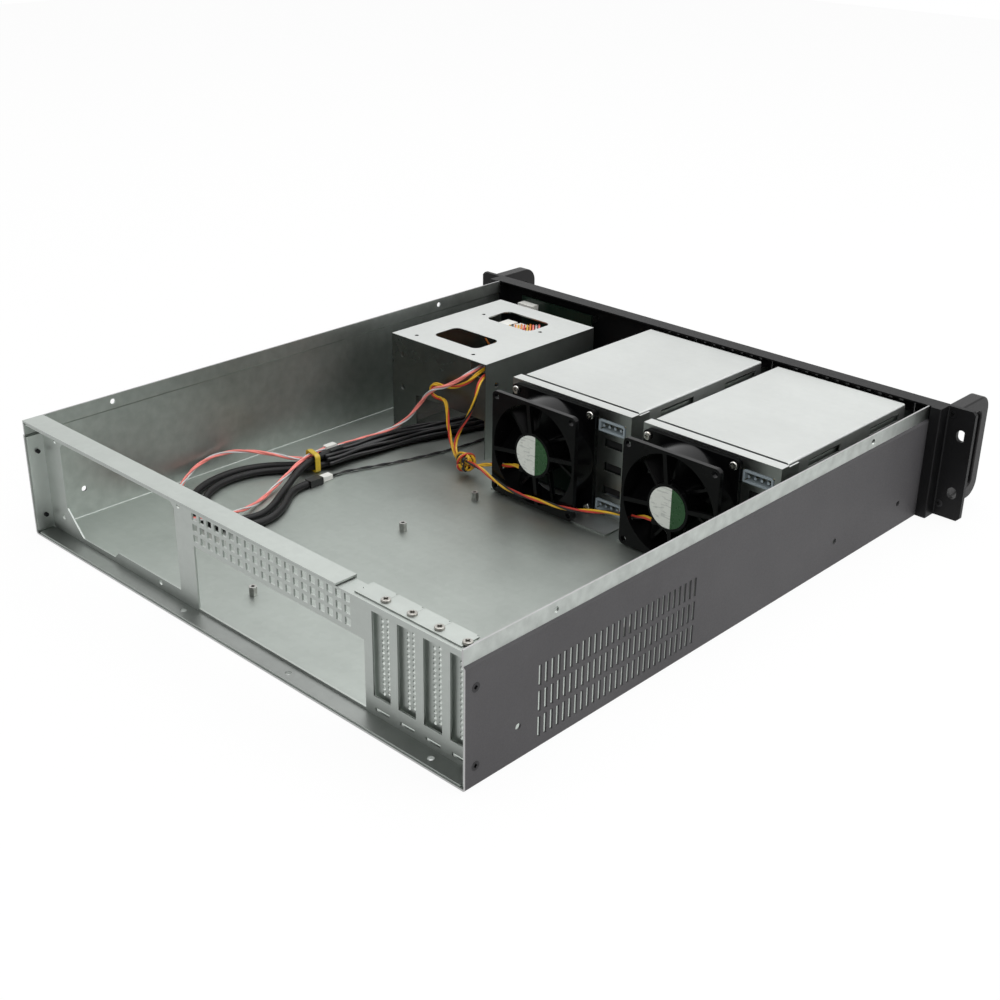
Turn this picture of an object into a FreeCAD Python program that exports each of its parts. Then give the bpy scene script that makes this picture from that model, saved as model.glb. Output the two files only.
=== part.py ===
import FreeCAD, Part
import math
import os

os.makedirs("parts", exist_ok=True)
V = FreeCAD.Vector

# Two-unit rack case, cover off. X runs across, +Y to the rear, Z up, millimetres.
# Depths are given as a distance d forward of the rear edge of the tray.

# ---- driving dimensions -------------------------------------------------
sheet = 1.2             # main sheet steel
thin_sheet = 1.0        # drive cages
body_width = 425.0      # outside of the painted side walls
body_depth = 480.0      # rear edge to the back of the front panel
lip_rise = 11.2         # bare lips that carry the cover, over the painted walls
lip_step = 1.4          # joggle of the lips towards the inside
lip_cover_gap = 4.2     # top of the tray bays to the top of the lips
bend = 2.0              # outside radius of the main bends
seat_gap = 0.3          # play between pieces that are dropped in

# drive trays
tray_count = 3
tray_gap = 0.8          # air between two moulded fronts
tray_first = 2.8        # underside of the lowest tray
tray_side_play = 1.8    # tray wall to cage wall
tray_wall = 1.0
tray_side_height = 20.0
tray_setback = 6.0      # tray's rear end, forward of the cage's rear end
tray_vent_width = 60.0
tray_vent_depth = 26.0
tray_vent_pitch = 44.0
tray_vent_first = 26.0
rail_ledge = 5.0
rail_leg = 6.0
slide_play = 0.2
bezel_width = 106.4
bezel_height = 25.8
bezel_reach = 4.8       # moulded front, before the front panel
bezel_play = 0.5
bezel_slot = 6.0
bezel_slot_pitch = 9.0
lever_inset = 7.0       # lever's axis from the edge of the moulded front
lever_length = 84.0
lever_height = 17.0
lever_thick = 4.0
lever_pin = 1.2
lever_slot = 4.0
lever_slot_pitch = 9.0
lug_width = 8.0
lug_thick = 2.4
lug_play = 0.4
pin_play = 0.05

# rear panel
recess = 13.0           # rear panel face, forward of the rear edge
flange_setback = 0.8    # flange ends, forward of the rear edge
io_width = 158.75
io_height = 44.45
io_bottom = 4.2
io_slot_gap = 13.75     # opening edge to the first slot's middle
supply_wall_gap = 22.3  # power supply opening to the side wall
supply_width = 132.5
supply_bottom = 5.8
supply_step = 4.7       # raised ledge with the lower screw hole
supply_ledge_run = 61.0
supply_top_gap = 9.5    # opening's top, under the shelf
supply_chamfer = 6.0
supply_cut = 17.0       # large lower corner cut
supply_hole = 3.6
mesh_columns = 20
mesh_rows = 3
mesh_pitch = 7.5
mesh_hole = 4.9
mesh_gap = 3.35         # lowest holes over the opening below them
mesh_edge = 0.5
slot_count = 4
slot_pitch = 20.32
slot_wall_gap = 15.84   # last slot's middle from the side wall
slot_window = 14.0
slot_bottom = 15.0
slot_top_gap = 14.5     # window's top, under the shelf
tongue_width = 11.5
tongue_slit = 2.0
tongue_z = 6.8

# slot covers
cover_sheet = 0.9
cover_width = 18.4
cover_offset = 2.0      # air between the panel and the covers
cover_bottom = 5.0
cover_tab_end = 3.4     # d of the rear end of the tab
cover_hole = 2.3
cover_hole_rows = 15
cover_hole_pitch = 3.35
cover_hole_first = 2.4  # lowest hole over the window's bottom edge
cover_columns = (1.5, -2.8)
cover_taper = 3.2
screw_side = 11.0       # screw beside the slot's middle
screw_place = 7.8       # d of the slot screws

# rear beam
beam_lap = 7.05         # beam's end beyond the connector opening
beam_drop = 4.8
beam_rest = 0.8         # beam over the shelf

# screws
screw_head = 3.0
screw_shank = 1.5
screw_play = 0.1

# side vent and wall holes
vent_columns = 28
vent_rows = 3
vent_pitch = 5.08
vent_row_pitch = 16.3
vent_slot = 2.3
vent_length = 13.0
vent_start = 56.6
vent_bottom = 7.6
wall_screw_d = 7.6
wall_screw_inset = 13.3 # wall screws from the wall's lower and upper edge
wall_hole = 4.2
rear_hole_d = 40.0
rear_hole_z = 22.0
rail_hole_fronts = (127.0, 43.0)    # slide rail holes, from the front panel
rail_hole_z = 20.0
lip_hole = 4.0
lip_hole_drop = 5.0
lip_hole_rear = 69.5
lip_hole_front = 88.5   # from the front panel
strip_hole_d = 6.6
strip_holes = (46.0, -59.0, -180.0)

# board standoffs
board_edge_d = 18.4
board_edge_gap = 5.4    # first post's column from the connector opening's edge
board_column_steps = (0.0, 157.48, 203.2)
board_row_steps = (33.02, 165.1, 237.49)
board_rear_row = 10.16
standoff_height = 6.4
standoff_across = 5.0
standoff_bore = 2.5
standoff_shank = 4.2
shank_end = 0.2         # shanks stop short of the tray's underside

# front panel, ears, handles
panel_return = 12.0
return_inset = 2.0
lip_front_gap = 0.6
ear_reach = 28.8        # ear beyond the side wall
ear_bottom = 1.0
ear_plate = 3.4
ear_block = 8.0
ear_block_depth = 15.2
ear_corner = 2.5
ear_screw_inset = 1.0
ear_screw_low = 15.0
ear_screw_high = 22.0
rack_hole_edge = 8.75   # rack slot's middle from the ear's edge
rack_hole_pitch = 44.45
rack_hole_width = 7.0
rack_hole_length = 9.0
handle_offset = 11.5    # handle's middle beyond the side wall
handle_width = 11.0
handle_reach = 42.3
handle_bar = 10.0
handle_arm = 10.5
handle_inset = 4.5      # handle's lower end over the ear's lower end
handle_top_inset = 0.5
handle_radius = 12.0
handle_inner_radius = 5.0
handle_edge = 1.2
handle_screw_grip = 8.0
handle_screw_length = 10.0
ear_screw_length = 6.0

# drive cages
cage_width = 109.0
cage_gap = 14.0         # air between the two cages
cage_wall_gap = 16.8    # air between the left cage and the side wall
cage_front_gap = 17.0   # cage's front end to the front panel
cage_length = 149.0
cage_headroom = 2.2     # over the topmost tray
cage_foot = 9.0
cage_fold = 1.5
cage_slot_length = 39.0
cage_slot_height = 5.5
cage_slot_drop = 5.0
cage_slot_steps = (24.5, 102.5)

# fans
fan_size = 80.0
fan_depth = 25.0
fan_rim = 2.0           # duct's thinnest wall
fan_screw_edge = 4.25
fan_flange = 3.6
fan_corner = 4.0
fan_offset_x = 11.6     # fan middle from the middle of its drive cage
fan_boss_radius = 4.5
fan_boss_length = 9.0
lead_hole_start = 8.0   # hole for the lead through the duct, beyond the motor plate
lead_hole_depth = 5.3
lead_hole_drop = 20.0
lead_hole_play = 0.5
fan_lug = 2.2
tip_gap = 1.6
rotor_hub = 16.0
stator_rim = 1.0        # motor plate beyond the rotor's hub
stator_thick = 4.0
label_inset = 2.0
label_thick = 0.25
strut_width = 3.2
strut_thick = 3.0
strut_angles = (8, 98, 188, 278)
lead_outlet_x = 12.8    # where a fan's lead leaves the motor plate
lead_outlet_z = -14.1
lead_outlet_width = 3.8
blade_count = 7
blade_thick = 1.6
blade_chord = 22.0
blade_pitch_deg = 38.0
shaft_radius = 1.5
shaft_play = 0.05
rotor_gap = 3.0         # rotor cup from the motor plate

# fan brackets and backplanes
bracket_gap = 13.0      # bracket's rear face to the cage
bracket_rise = 1.0      # bracket over the cage
bracket_flange = 8.6
bracket_foot = 23.0
bracket_overhang = 2.3
bracket_side = 20.0
socket_offset_x = 41.2  # sockets, from the middle of the drive cage
socket_width = 23.4
socket_height = 8.8
socket_low = 10.4
socket_top_gap = 13.0   # upper sockets' middle under the bracket's top
socket_reach = 0.8
socket_wall = 1.5
pin_pitch = 5.08
port_offset_x = 1.8
port_width = 16.0
port_height = 6.8
port_pitch = 18.3
port_frame = 0.6
board_thick = 1.6
port_reach = 9.0

# fixed drive cage beside them
fixed_wall_gap = 27.3   # cage to the side wall
fixed_width = 106.0
fixed_front_gap = 39.0  # cage's front end to the front panel
fixed_length = 127.4
fixed_drop = 5.5        # cage's top under the lips
window_length = 49.0
window_width = 27.5
window_radius = 6.0
window_offset = 2.0
window_steps = (33.9, 95.1)
fixed_hole = 3.2
fixed_hole_span = 64.0
fixed_hole_offset = 2.4
fixed_hole_steps = (10.0, 87.4)
wall_dot = 4.4          # holes in the fixed cage's walls
wall_dot_zs = (65.0, 37.0)
side_dot_z = 61.0
dot_inset = 12.0
near_foot_start = 30.0
exit_width = 78.0
exit_height = 34.0
notch_width = 16.0
notch_height = 11.0

# front controls
control_drop = 24.0     # buttons and lights under the top of the panel
power_step = 32.0       # from the middle of the control board, as are those below
reset_step = 12.0
light_steps = (-6.0, -14.0, -22.0)
port_step = 4.0
power_radius = 6.0
reset_radius = 2.6
button_play = 0.3
button_collar = 1.2
button_reach = 1.6
stem_radius = 1.6
stem_length = 3.6
switch_size = 6.0
switch_gap = 2.0
light_radius = 1.5
port_z = 32.0
usb_width = 13.1
usb_height = 5.7
usb_gap = 26.0
usb_play = 0.6
control_gap = 10.0      # control board to the front panel
control_board_width = 80.0
control_board_rise = 3.0
control_board_drop = 8.0
spacer_radius = 2.5
spacer_inset = 4.0
spacer_zs = (10.0, 72.0)
control_plug_width = 17.0
control_plug_height = 8.0
control_plug_inset = 11.0

# cords
outer_radius = 2.8
inner_radius = 2.6
lead_radius = 1.6
signal_radius = 1.1
hank_setback = 66.4     # stowed leads, forward of the fixed cage's rear face
hank_depth = 56.0
hank_height = 68.0
hank_radius = 8.0
hank_inset = 20.0       # stowed leads from the cage's nearer side
hank_width = 70.0
floor_play = 0.1
tie_thick = 1.2
tie_width = 16.4        # tie round the harness
tie_low = 0.2
tie_high = 16.4
tie_band = 4.0
tie_corner = 3.0
tie_x = 158.1
tie_d = 206.0
tie_turn = -12.0
harness_plug = (7.0, 5.4, 12.0)     # width, height and length of each plug
return_plug = (5.0, 5.0, 12.0)
pink_plug = (5.0, 4.4, 10.0)
signal_plug = (5.8, 5.0, -9.0)
hank_plug_width = 11.0
hank_plug_height = 6.0
hank_plug_start = 24.0  # plugs on the stowed leads, from the leads' rear end
hank_plug_end = 38.0
hank_plug_steps = (-3.0, 11.0)      # from the fixed cage's middle
lead_tie_x = 63.5       # small tie round the fan leads
lead_tie_band = 2.4
lead_tie_d = (275.2, 286.4)
lead_tie_z = (6.8, 18.6)
lead_tie_thick = 1.0
lead_tie_corner = 3.0

# ---- values that follow -------------------------------------------------
tray_pitch = bezel_height + tray_gap
stack_top = tray_first + tray_pitch * (tray_count - 1) + bezel_height
lip_height = stack_top + lip_cover_gap
wall_height = lip_height - lip_rise
shelf_height = lip_height - sheet - beam_rest
total_depth = body_depth + sheet + handle_reach
rear_y = total_depth / 2.0
half = body_width / 2.0
inner = half - sheet
lip_out = half - lip_step
lip_in = lip_out - sheet
floor_top = sheet
panel_back = recess + sheet
front_face = body_depth + sheet
bezel_front = front_face + bezel_reach
wall_screw_zs = (wall_screw_inset, wall_height - wall_screw_inset)
lip_hole_z = lip_height - lip_hole_drop

first_slot_x = -inner + slot_wall_gap + slot_pitch * (slot_count - 1)
slot_top = shelf_height - slot_top_gap
io_right = first_slot_x + io_slot_gap
io_left = io_right + io_width
beam_end = io_right + beam_lap
mesh_bottom = io_bottom + io_height + mesh_gap
board_x = io_left - board_edge_gap
supply_left = inner - supply_wall_gap
supply_right = supply_left - supply_width
supply_ledge_x = supply_left - supply_ledge_run
supply_top = shelf_height - supply_top_gap

ear_end = half + ear_reach
ear_top = lip_height
rack_hole_x = ear_end - rack_hole_edge
handle_x = half + handle_offset
handle_bottom = ear_bottom + handle_inset
handle_top = ear_top - handle_top_inset

cage_top = stack_top + cage_headroom
cage_front = body_depth - cage_front_gap
cage_rear = cage_front - cage_length
left_cage_x = -inner + cage_wall_gap + cage_width / 2.0
cage_centres = (left_cage_x + cage_width + cage_gap, left_cage_x)
cage_names = ("centre", "left")
tray_width = cage_width - 2 * (thin_sheet + tray_side_play)
tray_rear = cage_rear + tray_setback

bracket_d = cage_rear - bracket_gap
bracket_top = cage_top + bracket_rise
socket_high = bracket_top - socket_top_gap
fan_z = floor_top + sheet + fan_size / 2.0
fan_rear = bracket_d - fan_depth
fan_bore = fan_size / 2.0 - fan_rim
fan_screw_offset = fan_size / 2.0 - fan_screw_edge
rotor_radius = fan_bore - tip_gap
stator_hub = rotor_hub + stator_rim

fixed_left = inner - fixed_wall_gap
fixed_right = fixed_left - fixed_width
fixed_middle = (fixed_left + fixed_right) / 2.0
fixed_front = body_depth - fixed_front_gap
fixed_rear = fixed_front - fixed_length
fixed_top = lip_height - fixed_drop
hank_d = fixed_rear + hank_setback
hank_top = floor_top + floor_play + hank_height

control_z = lip_height - control_drop
control_board_d = body_depth - control_gap
control_board_x = fixed_left - control_board_width / 2.0
power_x = control_board_x + power_step
reset_x = control_board_x + reset_step
light_xs = [control_board_x + step for step in light_steps]
port_x = control_board_x + port_step


def y_at(d):
    """Y of a place d forward of the rear edge."""
    return rear_y - d


def block(x0, x1, d0, d1, z0, z1):
    return Part.makeBox(x1 - x0, d1 - d0, z1 - z0, V(x0, y_at(d1), z0))


def rod(x, z, radius, d0, d1):
    """Round bar along Y from d0 forward to d1."""
    return Part.makeCylinder(radius, d1 - d0, V(x, y_at(d0), z), V(0, -1, 0))


def cone(x, z, r0, r1, d0, d1):
    return Part.makeCone(r0, r1, d1 - d0, V(x, y_at(d0), z), V(0, -1, 0))


def cross_rod(x0, x1, d, z, radius):
    return Part.makeCylinder(radius, x1 - x0, V(x0, y_at(d), z), V(1, 0, 0))


def post(x, d, radius, z0, z1):
    return Part.makeCylinder(radius, z1 - z0, V(x, y_at(d), z0))


def rounded(points):
    """Closed outline in the drawing plane; a third value rounds a corner."""
    count = len(points)
    starts = []
    ends = []
    arcs = []
    for i in range(count):
        here = V(points[i][0], points[i][1], 0)
        radius = points[i][2] if len(points[i]) > 2 else 0.0
        if radius <= 0.0:
            starts.append(here)
            ends.append(here)
            arcs.append(None)
            continue
        before = V(points[i - 1][0], points[i - 1][1], 0)
        after = V(points[(i + 1) % count][0], points[(i + 1) % count][1], 0)
        way_in = (before - here).normalize()
        way_out = (after - here).normalize()
        half_angle = way_in.getAngle(way_out) / 2.0
        cut = radius / math.tan(half_angle)
        first = here + way_in * cut
        last = here + way_out * cut
        middle_way = (way_in + way_out).normalize()
        centre = here + middle_way * (radius / math.sin(half_angle))
        starts.append(first)
        ends.append(last)
        arcs.append(Part.Arc(first, centre - middle_way * radius, last))
    edges = []
    for i in range(count):
        if arcs[i] is not None:
            edges.append(arcs[i].toShape())
        start = ends[i]
        finish = starts[(i + 1) % count]
        if start.distanceToPoint(finish) > 1e-6:
            edges.append(Part.makeLine(start, finish))
    return Part.Wire(edges)


def rectangle(u0, u1, v0, v1, radius=0.0):
    corners = ((u0, v0), (u1, v0), (u1, v1), (u0, v1))
    return rounded([(u, v, radius) for u, v in corners])


def centred(u, v, width, height, radius=0.0):
    return rectangle(u - width / 2, u + width / 2, v - height / 2, v + height / 2, radius)


def circle(u, v, radius):
    return Part.Wire([Part.makeCircle(radius, V(u, v, 0))])


def hexagon(u, v, across):
    reach = across / math.sqrt(3.0)
    turns = [math.radians(60 * k + 30) for k in range(6)]
    return rounded([(u + reach * math.cos(a), v + reach * math.sin(a)) for a in turns])


def plate(outer, holes, thickness):
    face = Part.Face([outer] + list(holes), "Part::FaceMakerBullseye")
    return face.extrude(V(0, 0, thickness))


def stood(solid, u, v, w, origin):
    """Turn a drawn solid so that its own axes run along u, v and w."""
    matrix = FreeCAD.Matrix(u.x, v.x, w.x, origin.x,
                            u.y, v.y, w.y, origin.y,
                            u.z, v.z, w.z, origin.z,
                            0, 0, 0, 1)
    solid.Placement = FreeCAD.Placement(matrix)
    return solid


def across(outer, holes, d, thickness):
    """Sheet drawn in (x, z), from d forward by its thickness."""
    solid = plate(outer, holes, thickness)
    return stood(solid, V(1, 0, 0), V(0, 0, 1), V(0, -1, 0), V(0, y_at(d), 0))


def along(outer, holes, x, thickness):
    """Sheet drawn in (d, z), from x to x + thickness."""
    solid = plate(outer, holes, thickness)
    return stood(solid, V(0, -1, 0), V(0, 0, 1), V(-1, 0, 0), V(x + thickness, rear_y, 0))


def level(outer, holes, z, thickness):
    """Sheet drawn in (x, d), from z up by its thickness."""
    solid = plate(outer, holes, thickness)
    return stood(solid, V(1, 0, 0), V(0, -1, 0), V(0, 0, -1), V(0, rear_y, z + thickness))


def joined(shapes):
    result = shapes[0].fuse(list(shapes[1:])) if len(shapes) > 1 else shapes[0]
    return result.removeSplitter()


def save(name, shape):
    shape.exportStep("parts/" + name + ".step")
    print(name, len(shape.Solids), "solids", round(shape.Volume, 1), shape.isValid())


def group(shapes):
    return Part.makeCompound(list(shapes))


def mirrored(shape):
    return shape.mirror(V(0, 0, 0), V(1, 0, 0))


# ---- chassis tray -------------------------------------------------------
def wall_profile():
    """Section of the right-hand side wall with its bend and stepped lip."""
    top = wall_height + lip_step
    inside = wall_height - sheet * 0.4
    return rounded([(half - bend, 0.0), (half, 0.0, bend), (half, wall_height), (lip_out, top),
                    (lip_out, lip_height), (lip_in, lip_height), (lip_in, inside + lip_step),
                    (inner, inside), (inner, floor_top, bend - sheet), (half - bend, floor_top)])


def countersink(side, d, z):
    """Conical seat in a side wall, narrow end inside."""
    return Part.makeCone(screw_head, screw_shank + screw_play, sheet,
                         V(side * half, y_at(d), z), V(-side, 0, 0))


def wall_drill(side, d, z, radius):
    return cross_rod(side * half - 3, side * half + 3, d, z, radius)


def chassis_tray():
    """One folded sheet, drawn as floor and two walls that meet at the bends."""
    screw_bore = screw_shank + screw_play
    lip_end = body_depth - panel_return - lip_front_gap
    beam_depth = panel_back + sheet
    walls = []
    for side in (-1, 1):
        wall = across(wall_profile(), [], 0.0, body_depth)
        if side < 0:
            wall = mirrored(wall)
        outer_x = side * (half + 1.0)
        inner_x = side * (lip_in - 1.0)
        low, high = min(outer_x, inner_x), max(outer_x, inner_x)
        cuts = [block(low, high, lip_end, body_depth + 1, wall_height - sheet, lip_height + 1)]
        cuts += [wall_drill(side, ear_screw_d(), z, screw_bore) for z in ear_screw_zs()]
        cuts += [countersink(side, wall_screw_d, z) for z in wall_screw_zs]
        cuts += [wall_drill(side, wall_screw_d, z, screw_bore) for z in wall_screw_zs]
        cuts += [wall_drill(side, d, z, wall_hole / 2) for d, z in wall_hole_places()]
        cuts += [wall_drill(side, d, lip_hole_z, lip_hole / 2)
                 for d in (lip_hole_rear, body_depth - lip_hole_front)]
        if side > 0:
            cuts.append(block(lip_in - 1, half + 1, -1, beam_depth + seat_gap,
                              lip_height - sheet, lip_height + 1))
        else:
            cuts += vent_slots()
        walls.append(wall.cut(Part.makeCompound(cuts)))
    floor = block(bend - half, half - bend, 0.0, body_depth, 0.0, floor_top)
    drills = [post(x, strip_hole_d, wall_hole / 2, -1, floor_top + 1) for x in strip_holes]
    drills += [post(x, d, standoff_shank / 2, -1, floor_top + 1) for x, d in standoff_places()]
    save("chassis_tray", group([floor.cut(Part.makeCompound(drills))] + walls))


def wall_hole_places():
    fronts = [(body_depth - step, rail_hole_z) for step in rail_hole_fronts]
    return [(rear_hole_d, rear_hole_z)] + fronts


def vent_slots():
    """Three rows of upright slots in the left-hand wall."""
    slots = []
    for row in range(vent_rows):
        z = vent_bottom + row * vent_row_pitch
        for column in range(vent_columns):
            d = vent_start + column * vent_pitch
            slots.append(block(-half - 1, 1 - inner, d - vent_slot / 2, d + vent_slot / 2,
                               z, z + vent_length))
    return slots


def standoff_places():
    places = []
    for column, step in enumerate(board_column_steps):
        rear_step = board_row_steps[0] if column == 0 else board_rear_row
        for row_step in (rear_step,) + board_row_steps[1:]:
            places.append((board_x - step, board_edge_d + row_step))
    return places


def board_standoffs():
    solids = []
    for x, d in standoff_places():
        drawn = level(hexagon(x, d, standoff_across), [], floor_top, standoff_height)
        shank = post(x, d, standoff_shank / 2, shank_end, floor_top)
        bore = post(x, d, standoff_bore / 2, 0.0, floor_top + standoff_height + 1)
        solids.append(drawn.fuse(shank).cut(bore))
    save("board_standoffs", group(solids))


# ---- rear panel ---------------------------------------------------------
def slot_centres():
    return [first_slot_x - slot_pitch * k for k in range(slot_count)]


def supply_outline():
    """Power supply opening with its cut corners and raised ledge."""
    ledge = supply_bottom + supply_step
    return rounded([
        (supply_right, ledge), (supply_ledge_x, ledge), (supply_ledge_x + supply_step, supply_bottom),
        (supply_left - supply_cut, supply_bottom), (supply_left, supply_bottom + supply_cut),
        (supply_left, supply_top - supply_chamfer), (supply_left - supply_chamfer, supply_top),
        (supply_right + supply_chamfer, supply_top), (supply_right, supply_top - supply_chamfer)])


def supply_screws():
    """Middles of the four power supply screw holes."""
    low = supply_bottom + supply_step
    return ((supply_left + supply_chamfer, low + 3.8), (supply_right + 23.0, low - 3.6),
            (supply_left + supply_chamfer, supply_top - 3.0), (supply_right - 5.0, supply_top - 3.0))


def rear_panel():
    """One folded sheet: face, shelf, two side flanges and the floor flange."""
    holes = [supply_outline()]
    holes.append(rectangle(io_left - io_width, io_left, io_bottom, io_bottom + io_height))
    for x, z in supply_screws():
        holes.append(circle(x, z, supply_hole / 2))
    for column in range(mesh_columns):
        for row in range(mesh_rows):
            x = io_left - mesh_edge - mesh_pitch * column
            z = mesh_bottom + mesh_pitch * row
            holes.append(rectangle(x - mesh_hole, x, z, z + mesh_hole))
    for x in slot_centres():
        holes.append(centred(x, (slot_bottom + slot_top) / 2, slot_window, slot_top - slot_bottom))
        holes.append(centred(x, tongue_z, tongue_width, tongue_slit))
    step_z = wall_height - sheet
    side_x = lip_in - 0.2
    outer = rounded([(inner, floor_top + sheet), (inner, step_z), (side_x, step_z + lip_step),
                     (side_x, shelf_height), (-side_x, shelf_height), (-side_x, step_z + lip_step),
                     (-inner, step_z), (-inner, floor_top + sheet)])
    face = across(outer, holes, recess, sheet)
    shelf = block(-side_x, side_x, flange_setback, recess, shelf_height - sheet, shelf_height)
    relief = 3.0
    foot = block(-inner + relief, inner - relief, flange_setback, recess + sheet,
                 floor_top, floor_top + sheet)
    sides = []
    for side in (-1, 1):
        x = inner - sheet if side > 0 else -inner
        screw_holes = [circle(wall_screw_d, z, screw_shank + screw_play) for z in wall_screw_zs]
        sides.append(along(rectangle(flange_setback, recess, floor_top + sheet, step_z),
                           screw_holes, x, sheet))
    body = joined([face, shelf, foot] + sides)
    cuts = [post(x, strip_hole_d, wall_hole / 2, 0, floor_top + sheet + 1) for x in strip_holes]
    cuts += [post(x - screw_side, screw_place, screw_shank + screw_play, shelf_height - 3, shelf_height + 1)
             for x in slot_centres()]
    save("rear_panel", body.cut(Part.makeCompound(cuts)))


def rear_beam():
    """Angle strip that closes the top of the rear opening."""
    top = block(beam_end, lip_out, 0.0, panel_back + sheet, lip_height - sheet, lip_height)
    drop = block(beam_end, lip_in - 0.2, panel_back, panel_back + sheet,
                 lip_height - sheet - beam_drop, lip_height - sheet)
    save("rear_beam", joined([top, drop]))


def slot_covers():
    cover_d = panel_back + cover_offset
    tab_z = shelf_height
    solids = []
    for x in slot_centres():
        left = x - cover_width / 2
        right = x + cover_width / 2
        low = slot_bottom - 2.0
        holes = []
        for row in range(cover_hole_rows):
            for column, offset in enumerate(cover_columns):
                z = slot_bottom + cover_hole_first + (row + column / 2.0) * cover_hole_pitch
                holes.append(hexagon(x + offset, z, cover_hole))
        outer = rounded([(left + cover_taper, cover_bottom), (right - cover_taper, cover_bottom),
                         (right - cover_taper, low - cover_taper), (right, low),
                         (right, tab_z + cover_sheet), (left, tab_z + cover_sheet),
                         (left, low), (left + cover_taper, low - cover_taper)])
        face = across(outer, holes, cover_d, cover_sheet)
        tab = block(x - screw_side, right, cover_tab_end, cover_d, tab_z, tab_z + cover_sheet)
        notches = [post(notch_x, screw_place, screw_shank + 0.4, tab_z - 1, tab_z + 2)
                   for notch_x in (x - screw_side, x + slot_pitch - screw_side)]
        solids.append(joined([face, tab]).cut(Part.makeCompound(notches)))
    save("slot_covers", group(solids))


def pan_screw(base, way, head_radius, head_height, shank_radius, shank_length):
    """Domed cross-head screw; the head stands on base and points along way."""
    head = Part.makeCylinder(head_radius, head_height, base, way)
    crown = [edge for edge in head.Edges if edge.Curve.TypeId == "Part::GeomCircle"
             and edge.CenterOfMass.distanceToPoint(base + way * head_height) < 0.01]
    head = head.makeFillet(head_height * 0.45, crown)
    shank = Part.makeCylinder(shank_radius, shank_length, base, way * -1)
    return head.fuse(shank).cut(cross_recess(base + way * head_height, way, head_radius)).removeSplitter()


def cross_recess(top, way, head_radius):
    """Two crossed slots sunk from top."""
    reach = head_radius * 0.55
    width = head_radius * 0.22
    depth = head_radius * 0.35
    bars = []
    for long_x, long_y in ((reach, width), (width, reach)):
        bar = Part.makeBox(2 * long_x, 2 * long_y, depth + 1.0, V(-long_x, -long_y, -depth))
        bar.Placement = FreeCAD.Placement(top, FreeCAD.Rotation(V(0, 0, 1), way))
        bars.append(bar)
    return bars[0].fuse(bars[1])


def slot_screws():
    solids = []
    for x in slot_centres():
        base = V(x - screw_side, y_at(screw_place), shelf_height + cover_sheet)
        solids.append(pan_screw(base, V(0, 0, 1), screw_head - 0.1, 1.4, screw_shank, 4.5))
    save("slot_screws", group(solids))


def flat_screw(base, way, length):
    """Countersunk screw; base is the middle of the head's flat, way points out of it."""
    head = Part.makeCone(screw_head - 0.05, screw_shank, sheet - 0.1, base, way * -1)
    shank = Part.makeCylinder(screw_shank, length, base, way * -1)
    return head.fuse(shank).cut(cross_recess(base, way, screw_head * 0.8)).removeSplitter()


def panel_side_screws():
    solids = []
    for side in (-1, 1):
        for z in wall_screw_zs:
            base = V(side * half, y_at(wall_screw_d), z)
            solids.append(flat_screw(base, V(side, 0, 0), 4.0))
    save("panel_side_screws", group(solids))


# ---- front panel, ears, handles -----------------------------------------
def front_panel():
    holes = []
    for x in cage_centres:
        holes.append(rectangle(x - bezel_width / 2 - bezel_play, x + bezel_width / 2 + bezel_play,
                               tray_first - bezel_play, stack_top + bezel_play))
    holes.append(circle(power_x, control_z, power_radius + button_play))
    holes.append(circle(reset_x, control_z, reset_radius + button_play))
    for x in light_xs:
        holes.append(circle(x, control_z, light_radius + screw_play))
    for side in (-1, 1):
        x = port_x + side * usb_gap / 2
        holes.append(centred(x, port_z, usb_width + usb_play, usb_height + usb_play))
    face = across(rectangle(-half, half, 0.0, lip_height), holes, body_depth, sheet)
    start = body_depth - panel_return
    top = block(-half, half, start, body_depth, lip_height - sheet, lip_height)
    bottom = block(return_inset - inner, inner - return_inset, start, body_depth,
                   floor_top, floor_top + sheet)
    right = block(inner - sheet, inner, start, body_depth, floor_top + sheet, lip_height - sheet)
    left = block(-inner, -inner + sheet, start, body_depth, floor_top + sheet, lip_height - sheet)
    body = joined([face, top, bottom, right, left])
    cuts = [cross_rod(side * half - 4, side * half + 4, ear_screw_d(), z, screw_shank + screw_play)
            for side in (-1, 1) for z in ear_screw_zs()]
    save("front_panel", body.cut(Part.makeCompound(cuts)))


def ear_screw_d():
    return front_face - ear_block_depth / 2 - ear_screw_inset


def ear_screw_zs():
    return (ear_bottom + ear_screw_low, ear_top - ear_screw_high)


def rack_hole_zs():
    middle = (ear_bottom + ear_top) / 2
    return (middle - rack_hole_pitch / 2, middle + rack_hole_pitch / 2)


def handle_screw_zs():
    arm = handle_bar / 2
    return (handle_bottom + arm, handle_top - arm)


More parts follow.
